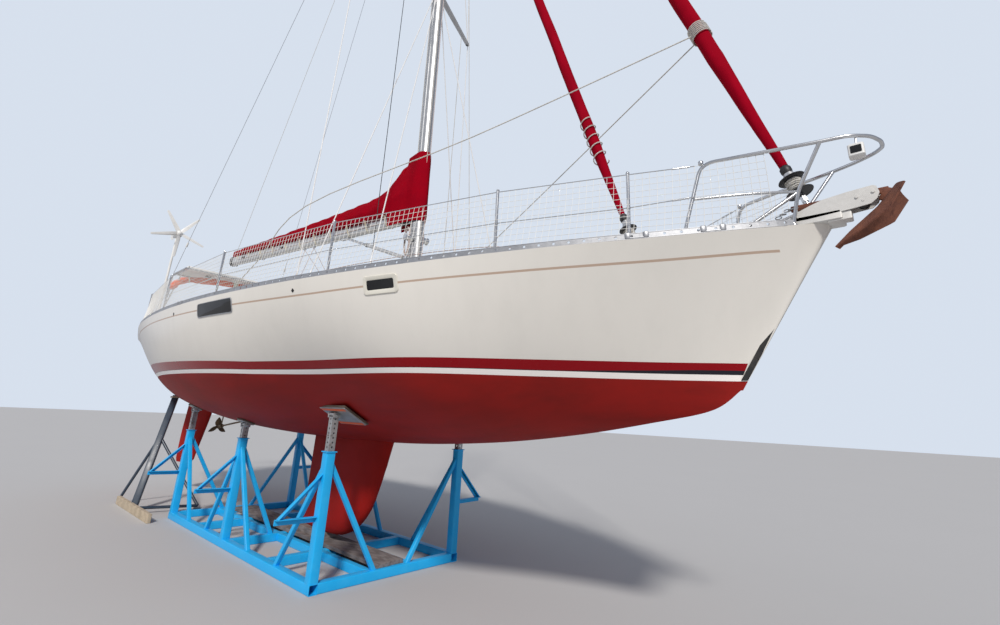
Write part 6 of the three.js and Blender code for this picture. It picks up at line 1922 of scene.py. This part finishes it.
class YACHT_OT_stern(bpy.types.Operator):
    """Stern arch, solar panels, awning roll, wind generator and ladder"""
    bl_idname = "yacht.stern"
    bl_label = "Stern"

    def execute(self, context):
        form = Form()
        half, leg, z = ARCH_HALF, ARCH_LEG, ARCH_Z

        def strut(side):
            return Vector((-5.48, side * leg, 3.72)), Vector((-4.72, side * half, z))

        def hoop_half(side):
            low, high = strut(side)
            return [Vector((-4.98, side * 1.255, 3.05)), Vector((-5.01, side * 1.195, 4.0)), low.lerp(high, 0.63),
                    Vector((-4.99, side * 0.9, 4.285)), Vector((-4.945, side * 0.45, 4.345))]

        hoop = hoop_half(-1) + [Vector((-4.93, 0, 4.365))] + hoop_half(1)[::-1]
        for side in (-1, 1):
            form.tube(bent_path([(-5.48, side * leg, 2.95), (-5.48, side * leg, 4.29), (-5.42, side * half, z),
                                 (-4.6, side * half, z)], 0.1, 6), 0.016, 0, 16)
            low, high = strut(side)
            form.rod(low, high, 0.013, 0, 14)
            foot_plate(form, -5.48, side * leg, 0.01, 0.04)
            form.ball(hoop_half(side)[0], 0.022)
        for x in (-5.42, -4.61):
            form.rod((x, -half, z), (x, half, z), 0.016)
        form.tube(smooth_path(hoop, 5), 0.013, 0, 12)
        form.piece("arch_tubes", "stainless", slot="stainless", replaces=["stern_arch"], sharp=50)
        for name, side in SIDES:
            low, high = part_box(f"solar_panel_{name}")
            panel = Form()
            panel.slab((low.x + 0.02, low.y + 0.02, high.z - 0.01), (high.x - 0.02, high.y - 0.02, high.z - 0.003), 0,
                       0.003)
            for y in (low.y + 0.012, high.y - 0.012):
                panel.bar((low.x, y, (low.z + high.z) / 2), (high.x, y, (low.z + high.z) / 2), 0.024, high.z - low.z,
                          1, 0.003)
            for x in (low.x + 0.012, high.x - 0.012):
                panel.bar((x, low.y + 0.01, (low.z + high.z) / 2), (x, high.y - 0.01, (low.z + high.z) / 2), 0.024,
                          high.z - low.z, 1, 0.003)
            panel.slab((low.x + 0.02, low.y + 0.02, low.z + 0.006), (high.x - 0.02, high.y - 0.02, high.z - 0.011), 1,
                       0.003)
            middle = (low + high) / 2
            panel.slab((middle.x - 0.06, middle.y - 0.05, low.z - 0.012),
                       (middle.x + 0.06, middle.y + 0.05, low.z + 0.008), 2, 0.01)
            panel.piece(f"solar_glass_{name}", "solar white black", slot="solar_cells",
                        replaces=[f"solar_panel_{name}"])
        self.awning(smooth_path([hoop[1].lerp(hoop[2], 0.15), *hoop[2:-2], hoop[-2].lerp(hoop[-3], 0.15)], 10))
        self.generator()
        self.ladder()
        return {"FINISHED"}

    def awning(self, path):
        """Rolled canvas round the hoop, tied with a pale band."""
        dense = []
        for a, b in zip(path, path[1:]):
            dense += [a.lerp(b, k / 3) for k in range(3)]
        dense.append(path[-1])
        form = Form()
        rings = []
        total = len(dense)
        side = Vector((1, 0, 0))
        for i, point in enumerate(dense):
            way = (dense[min(i + 1, total - 1)] - dense[max(i - 1, 0)]).normalized()
            side = (side - way * side.dot(way)).normalized()
            top = way.cross(side)
            share = i / (total - 1)
            tie = min(abs(share - s) for s in AWNING_TIES)
            radius = AWNING_RADIUS * (0.8 + 0.2 * min(1, tie / 0.045))
            radius *= min(1.0, 0.35 + 14 * share, 0.35 + 14 * (1 - share))
            ring = []
            for k in range(32):
                angle = tau * k / 32
                fold = 0.08 * sin(angle * 4 + share * 40) * min(1, tie / 0.03) + \
                    0.16 * noise.noise(Vector((cos(angle) * 1.4, sin(angle) * 1.4, share * 26)))
                r = radius * (1 + fold)
                ring.append(point + (side * cos(angle) + top * sin(angle)) * r)
            rings.append(ring)
        form.shell(rings)
        for share in (0.25, 0.5, 0.75):
            i = int(share * (total - 1))
            width = 3 if share == 0.5 else 1
            form.tube(dense[i - width:i + width + 1], 0.064, 1, 28)
        form.piece("awning_canvas", "orange webbing", slot="orange_cloth", replaces=["awning_roll"], sharp=60)

    def generator(self):
        x, y, z = GENERATOR
        pole = Form()
        pole.rod((x, y, 2.99), (x, y, z - 0.075), 0.024, 0, 20)
        foot_plate(pole, x, y, 0.014, 0.045, 24)
        pole.rod((x, y, 4.18), (-5.495, -1.11, 4.18), 0.011, 0, 14)
        pole.rod((x, y, 4.15), (x, y, 4.21), 0.03, 0, 18)
        pole.piece("generator_pole", "white", slot="stainless", replaces=["turbine_pole"])
        head = Form()
        head.lathe((x, y, z), (1, 0, 0),
                   ((-0.15, 0.056), (-0.14, 0.062), (-0.06, 0.074), (0.05, 0.08), (0.108, 0.079), (0.116, 0.07)), 0,
                   32)
        head.rod((x, y, z), (x + 0.1237, y, z), 0.02, 1)
        head.lathe((x, y, z), (-1, 0, 0), ((0.14, 0.05), (0.18, 0.034), (0.26, 0.018), (0.33, 0.014)), 0, 20)
        head.rod((x, y, z - 0.0747), (x, y, z - 0.03), 0.034, 0, 20)
        tail = [(0.28, -0.06), (0.3, 0.1), (0.4, 0.14), (0.55, 0.165), (0.565, 0.15), (0.54, 0.02), (0.42, -0.04),
                (0.33, -0.058)]
        place = Matrix(((-1, 0, 0, x), (0, 0, 1, y - 0.004), (0, 1, 0, z), (0, 0, 0, 1)))
        head.plate(tail, place, 0.008)
        for k in range(8):
            head.bar((x - 0.1 + 0.024 * k, y, z + 0.066), (x - 0.092 + 0.024 * k, y, z + 0.066), 0.07, 0.024, 0, 0.003)
        head.piece("generator_head", "white stainless", "turbine_head", "white_plastic", ["turbine_head"])
        rotor = Form()
        hub = Vector((x + 0.15, y, z))
        rotor.lathe(hub, (1, 0, 0),
                    ((-0.026, 0.055), (-0.024, 0.062), (0.0, 0.061), (0.018, 0.05), (0.033, 0.032), (0.041, 0.006)), 0,
                    32)
        for k in range(5):
            turn = Matrix.Translation(hub) @ Matrix.Rotation(k * tau / 5 + 0.62, 4, "X")
            rings = []
            for reach, chord, twist in ((0.02, 0.066, 0.5), (0.08, 0.088, 0.42), (0.15, 0.086, 0.33),
                                        (0.28, 0.074, 0.25), (0.42, 0.06, 0.18), (0.54, 0.046, 0.13),
                                        (0.556, 0.03, 0.12)):
                ring = []
                for a, b in circle(1.0, 18):
                    thick = 0.07 + 0.05 * a
                    across, deep = -a * chord / 2, b * chord * thick
                    c, s = cos(twist), sin(twist)
                    ring.append(turn @ Vector((deep * c + across * s, across * c - deep * s, reach)))
                rings.append(ring)
            rotor.shell(rings)
        rotor.piece("generator_blades", "white", "turbine_rotor", "white_plastic", ["turbine_rotor"], sharp=50)

    def ladder(self):
        """A folding ladder on the platform, and guard lines across the gate."""
        form = Form()
        for side in (-1, 1):
            form.tube(bent_path([(-6.2, 0.3 + side * 0.14, 2.36), (-6.24, 0.3 + side * 0.14, 2.36),
                                 (-6.235, 0.3 + side * 0.14, 3.02)], 0.02), 0.01, 0, 12)
        for k in range(4):
            form.bar((-6.236, 0.16, 2.5 + 0.15 * k), (-6.236, 0.44, 2.5 + 0.15 * k), 0.035, 0.018, 1, 0.005)
        for z in (3.58, 3.31):
            form.tube([(-5.96, -0.555, z), (-5.965, 0, z - 0.02), (-5.96, 0.555, z)], 0.004, 0, 8)
        form.piece("swim_ladder", "stainless timber")


class YACHT_OT_running(bpy.types.Operator):
    """Headsail sheets and furling lines"""
    bl_idname = "yacht.running"
    bl_label = "Running rigging"

    def execute(self, context):
        sizes = context.scene.yacht_sizes
        foot, _, along = stay_line("genoa")
        clew = foot + along * 2.08
        form = Form()
        hold = clew + Vector((-0.06, 0, 0))
        for side in (-1, 1):
            car = Vector((-0.6, side * 1.62, deck_z(-0.6, 1.62) + 0.09))
            drum = Vector((-3.9, side * 1.285, sheer(-3.9)[1] + 0.33))
            lead = Vector((1.2, side * 1.42, 4.15))
            form.tube(smooth_path([hold + Vector((0, side * 0.05, 0)), hold.lerp(lead, 0.5) - UP * 0.03, lead,
                                   lead.lerp(car, 0.5) - UP * 0.02, car], 5), sizes.rope, 0, 8)
            form.tube(smooth_path([car, car.lerp(drum, 0.5) - UP * 0.01, drum + Vector((0.06, side * 0.06, 0))], 5),
                      sizes.rope, 0, 8)
            form.rod(car - Vector((0, 0.015, 0)), car + Vector((0, 0.015, 0)), 0.04, 1, 20)
            form.bar(car - UP * 0.085, car, 0.05, 0.03, 2, up=(1, 0, 0))
            form.bar((0.6, side * 1.62, deck_z(0.6, 1.62) + 0.008), (-1.8, side * 1.62, deck_z(-1.8, 1.62) + 0.008),
                     0.028, 0.018, 2, 0.003)
        foot, _, along = stay_line("staysail")
        low = foot + along * 0.32
        form.tube(smooth_path([low + Vector((0, -0.05, 0)), Vector((4.3, -0.7, 3.16)), Vector((4.0, -1.16, 3.12)),
                               Vector((2.5, -1.7, 3.03)), Vector((-1.5, -1.9, 3.03)), Vector((-3.2, -1.75, 3.05))]),
                  0.004, 3, 8)
        form.piece("sheets_and_lines", "rope black rail red_rope", sharp=60)
        return {"FINISHED"}


class YACHT_OT_cradle(bpy.types.Operator):
    """Blue cradle, its jacks, the keel planks and the stern stand"""
    bl_idname = "yacht.cradle"
    bl_label = "Cradle"

    def execute(self, context):
        form = Form()
        front, aft, half, beam, post = 1.78, -2.72, 1.0, 0.1, 1.34
        edge = half - beam / 2
        across = Vector((1, 0, 0))
        for side in (-1, 1):
            y = side * edge
            outer = rounded_ring(beam, beam, 0.01)
            inner = rounded_ring(beam - 0.012, beam - 0.012, 0.006)
            ends = ((front - 0.3, inner), (front, inner), (front, outer), (aft, outer), (aft, inner),
                    (aft + 0.3, inner))
            form.shell([[(x, y + a, beam / 2 + b) for a, b in ring] for x, ring in ends])
            form.bar((front - beam, side * 0.265, beam / 2), (aft + beam, side * 0.265, beam / 2), 0.08, beam - 0.002,
                     0, 0.008)
        for x in (1.73, 0.655, -0.475, -1.63, -2.67):
            reach = edge - beam / 2 - 0.0004
            form.bar((x, -reach, beam / 2), (x, reach, beam / 2), beam - 0.001, beam - 0.001, 0, 0.009)
        plan = ((POST_X[0], 1.73, 0.215, (-0.8,)), (POST_X[1], -0.475, 0.375, (0.74, -0.69)),
                (POST_X[2], -2.67, 0.215, (0.74,)))
        hollow, solid = rounded_ring(0.086, 0.086, 0.006), rounded_ring(0.1, 0.1, 0.01)
        for x, cross, inner, feet in plan:
            for side in (-1, 1):
                y = side * edge
                walls = ((beam - 0.01, solid), (post, solid), (post, hollow), (post - 0.2, hollow))
                form.shell([[(x + a, y + b, z) for a, b in ring] for z, ring in walls])
                for s in (-1, 1):
                    form.bar((x + s * 0.055, y - 0.06, post - 0.006), (x + s * 0.055, y + 0.06, post - 0.006), 0.014,
                             0.01, 0, 0.003)
                    form.bar((x - 0.048, y + s * 0.055, post - 0.006), (x + 0.048, y + s * 0.055, post - 0.006), 0.014,
                             0.01, 0, 0.003)
                for foot in feet:
                    form.bar((x, y, post - 0.085), (x + foot, y, beam - 0.03), 0.05, 0.05)
                form.bar((x, y, post - 0.068), (cross, side * inner, beam - 0.03), 0.05, 0.05, up=across)
                self.angle((x, y, 0.68), (x, side * 1.42, 0.69), 0.056, form)
                self.angle((x, y, post - 0.205), (x, side * 1.385, 0.7), 0.05, form)
        posts = [f"cradle_post_{place}_{name}" for place in POST_PLACES for name, _ in SIDES]
        form.piece("cradle_beams", "blue galvanised", slot="cradle_blue", replaces=["cradle_frame", *posts], sharp=30)
        self.jacks(edge, post)
        self.planks()
        self.stand()
        return {"FINISHED"}

    def angle(self, a, b, size, form):
        """A length of angle iron with its two flanges on top and behind."""
        a, b = Vector(a), Vector(b)
        lift = (b - a).normalized().cross(Vector((1, 0, 0)))
        lift *= 1 if lift.z > 0 else -1
        for shift, wide, high in ((lift * (size / 2 - 0.004), size, 0.008),
                                  (Vector((-size / 2 + 0.004, 0, 0)) - lift * 0.004, 0.008, size - 0.008)):
            form.bar(a + shift, b + shift, wide, high, 0, 0.002, up=lift)

    def jacks(self, edge, post):
        tube, pitch = 0.074, 0.048
        unit = rail_unit(pitch, tube - 0.001, 0.005, 0.0105)
        for label, x in zip(POST_PLACES, POST_X):
            for name, side in SIDES:
                y = side * edge
                lift = SKIN["tree"].ray_cast(Vector((x, y, 0.5)), UP)[0].z
                long, wide, forward, inboard = (0.265, 0.18, 0.055, 0.08) if label == "front" else (0.1, 0.1, 0, 0)
                hit, normal = SKIN["tree"].ray_cast(Vector((x + forward, y - side * inboard, 0.5)), UP)[:2]
                normal = -normal if normal.z > 0 else normal
                form = Form()
                seat = Matrix.Translation(hit) @ Matrix.Rotation(atan2(normal.y, -normal.z), 4, "X")

                def board(low, high, mark, corner=0.006):
                    start = len(form.points)
                    form.slab(low, high, mark, corner)
                    form.points[start:] = [seat @ p for p in form.points[start:]]

                board((-long, -wide, -0.02), (long, wide, -0.003), 1)
                board((0.012 - long, 0.012 - wide, -0.033), (long - 0.012, wide - 0.012, -0.0205), 0)
                if label == "front" and side < 0:
                    for s in (-1, 1):
                        board((0.03 - long, s * 0.135 - 0.018, -0.037), (long - 0.03, s * 0.135 + 0.018, -0.0335), 2,
                              0.002)
                top = lift - 0.075
                for s in (-1, 1):
                    form.bar((x + s * 0.048, y, top - 0.01), (x + s * 0.06, y, lift - 0.03), 0.01, 0.09, 0, 0.003,
                             up=(0, 1, 0))
                form.rod((x - 0.075, y, lift - 0.062), (x + 0.075, y, lift - 0.062), 0.014, 0, 14)
                form.bar((x - 0.05, y, lift - 0.05), (x + 0.05, y, lift - 0.05), 0.07, 0.03)
                count = max(1, int((top - post + 0.1) / pitch))
                for dx, dy in ((0, 1), (0, -1), (1, 0), (-1, 0)):
                    face = Matrix(((0, dx, -dy, x + dx * (tube / 2 - 0.0025)),
                                   (0, dy, dx, y + dy * (tube / 2 - 0.0025)), (1, 0, 0, top - pitch / 2),
                                   (0, 0, 0, 1)))
                    for j in range(count):
                        base = len(form.points)
                        start = face @ Vector((-pitch * j, 0, 0))
                        form.points += [start + face.to_3x3() @ v.co for v in unit.data.vertices]
                        for polygon in unit.data.polygons:
                            form.faces.append(tuple(base + i for i in polygon.vertices))
                            form.marks.append(0)
                            form.uvs.append(tuple((0.0, 0.0) for _ in polygon.vertices))
                form.bar((x, y, top - 0.008), (x, y, top), 0.078, 0.078, 0, 0.004)
                form.piece(f"jack_head_{label}_{name}", "galvanised plywood hazard", slot="galvanised",
                           replaces=[f"jack_{label}_{name}"])
        bpy.data.objects.remove(unit)

    def planks(self):
        low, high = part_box("keel_planks")
        form = Form()
        for k, (aft, front) in enumerate(((low.x, -0.352), (-0.345, high.x))):
            for side in (-1, 1):
                y = sorted((side * 0.003, side * high.y))
                form.slab((aft, y[0], low.z), (front - 0.012 * (side > 0), y[1], 0.145), 0, 0.004)
        for k in range(4):
            form.slab((-0.555 + 0.24 * k, -0.12, 0.1455), (-0.323 + 0.24 * k, 0.12, high.z), 0, 0.005)
        form.piece("keel_timbers", "timber", slot="timber", replaces=["keel_planks"])

    def stand(self):
        form = Form()
        foot, foot_y = -3.6, -1.27
        form.slab((-4.43, foot_y - 0.075, 0.0), (-2.47, foot_y - 0.02, 0.13), 1)
        hit = SKIN["tree"].ray_cast(Vector((-4.42, -0.8, 0.5)), UP)[0]
        form.bar((foot, foot_y, 0.045), (-4.42, -0.8, hit.z - 0.012), 0.1, 0.08, 0, 0.01)
        for a, b in (((-4.5, foot_y, 0.115), (-4.08, -1.0, 1.13)), ((-4.08, -0.985, 1.13), (-3.25, -0.42, 0.06)),
                     ((-3.25, -0.42, 0.06), (-3.3, foot_y, 0.09))):
            form.rod(a, b, 0.024)
        form.rod((-3.25, -0.42, 0.03), (-3.25, -0.42, 0.0), 0.06, 0, 20)
        form.bar((-4.5, -0.8, hit.z - 0.03), (-4.34, -0.8, hit.z - 0.03), 0.14, 0.03, 1)
        form.piece("stern_prop", "grey_paint pale_timber", slot="grey_steel", replaces=["stern_stand"])


class YACHT_OT_stage(bpy.types.Operator):
    """Floor, light and camera"""
    bl_idname = "yacht.stage"
    bl_label = "Studio"

    def execute(self, context):
        scene = context.scene
        pale = scene.yacht_colours.floor
        dull = tuple(c * 0.97 for c in pale)
        paint = new_material("pale floor", lambda g: {"Base Color": g.mix(g.noise(g.place(), 0.4), pale, dull)},
                             Roughness=0.9)
        floor = Form().slab((-90, -90, -0.4), (90, 90, -0.0005), 0, 0.1).build("floor", [paint])
        camera = bpy.data.cameras.new("photo view")
        camera.sensor_width, camera.lens = 36, EYE_LENS
        camera.shift_y = EYE_SHIFT
        camera.clip_end = 400
        eye = linked("photo view", camera)
        yaw, pitch, roll = (radians(a) for a in EYE_TURN)
        ahead = Vector((cos(pitch) * cos(yaw), cos(pitch) * sin(yaw), sin(pitch)))
        level = Vector((sin(yaw), -cos(yaw), 0))
        above = level.cross(ahead)
        right = level * cos(roll) + above * sin(roll)
        top = above * cos(roll) - level * sin(roll)
        eye.matrix_world = Matrix.Translation(EYE) @ Matrix((right, top, -ahead)).transposed().to_4x4()
        scene.camera = eye
        scene.view_settings.view_transform = "Standard"
        world = bpy.data.worlds.new("studio")
        scene.world = world
        world.use_nodes = True
        g = Graph(world.node_tree)
        seen = g.node("ShaderNodeLightPath").outputs["Is Camera Ray"]
        sky = world.node_tree.nodes["Background"]
        g.feed(sky.inputs["Color"], g.mix(seen, (0.78, 0.84, 1.0), (0.8, 0.88, 1.0)))
        g.feed(sky.inputs["Strength"], g.spread(seen, 0.0, 1.0, 0.42, 0.85))
        for name, place, energy, size, tint in LAMPS:
            lamp = bpy.data.lights.new(name, "SUN")
            lamp.energy, lamp.color, lamp.angle = energy, tint, size
            turn = (-Vector(place)).to_track_quat("-Z", "Y").to_matrix().to_4x4()
            linked(name, lamp).matrix_world = Matrix.Translation(place) @ turn
        return {"FINISHED"}


class YACHT_PT_panel(bpy.types.Panel):
    """Buttons for each group of pieces"""
    bl_idname = "YACHT_PT_panel"
    bl_label = "Yacht"
    bl_space_type = "VIEW_3D"
    bl_region_type = "UI"
    bl_category = "Yacht"

    def draw(self, context):
        for operator in OPERATORS:
            self.layout.operator(operator.bl_idname)
        for group in (context.scene.yacht_sizes, context.scene.yacht_colours):
            box = self.layout.box()
            for key in group.bl_rna.properties.keys():
                if key not in ("rna_type", "name"):
                    box.prop(group, key)


OPERATORS = (YACHT_OT_stage, YACHT_OT_hull, YACHT_OT_foils, YACHT_OT_toe_rails, YACHT_OT_coachroof, YACHT_OT_cockpit,
             YACHT_OT_mast, YACHT_OT_headsails, YACHT_OT_boom, YACHT_OT_bow, YACHT_OT_lifelines, YACHT_OT_stern,
             YACHT_OT_running, YACHT_OT_cradle)
CLASSES = (YachtColours, YachtSizes, *OPERATORS, YACHT_PT_panel)


def register():
    for kind in CLASSES:
        bpy.utils.register_class(kind)
    bpy.types.Scene.yacht_colours = PointerProperty(type=YachtColours)
    bpy.types.Scene.yacht_sizes = PointerProperty(type=YachtSizes)


def unregister():
    del bpy.types.Scene.yacht_colours
    del bpy.types.Scene.yacht_sizes
    for kind in reversed(CLASSES):
        bpy.utils.unregister_class(kind)


def main():
    for name in ("Cube", "Light", "Camera"):
        if name in bpy.data.objects:
            bpy.data.objects.remove(bpy.data.objects[name])
    register()
    mix_finishes(bpy.context.scene.yacht_colours)
    TREES["net"], TREES["row"] = net_tree(), row_tree()
    for group in (bpy.ops.yacht.stage, bpy.ops.yacht.hull, bpy.ops.yacht.foils, bpy.ops.yacht.toe_rails,
                  bpy.ops.yacht.coachroof, bpy.ops.yacht.cockpit, bpy.ops.yacht.mast, bpy.ops.yacht.headsails,
                  bpy.ops.yacht.boom, bpy.ops.yacht.bow, bpy.ops.yacht.lifelines, bpy.ops.yacht.stern,
                  bpy.ops.yacht.running, bpy.ops.yacht.cradle):
        group()


if __name__ == "__main__":
    main()
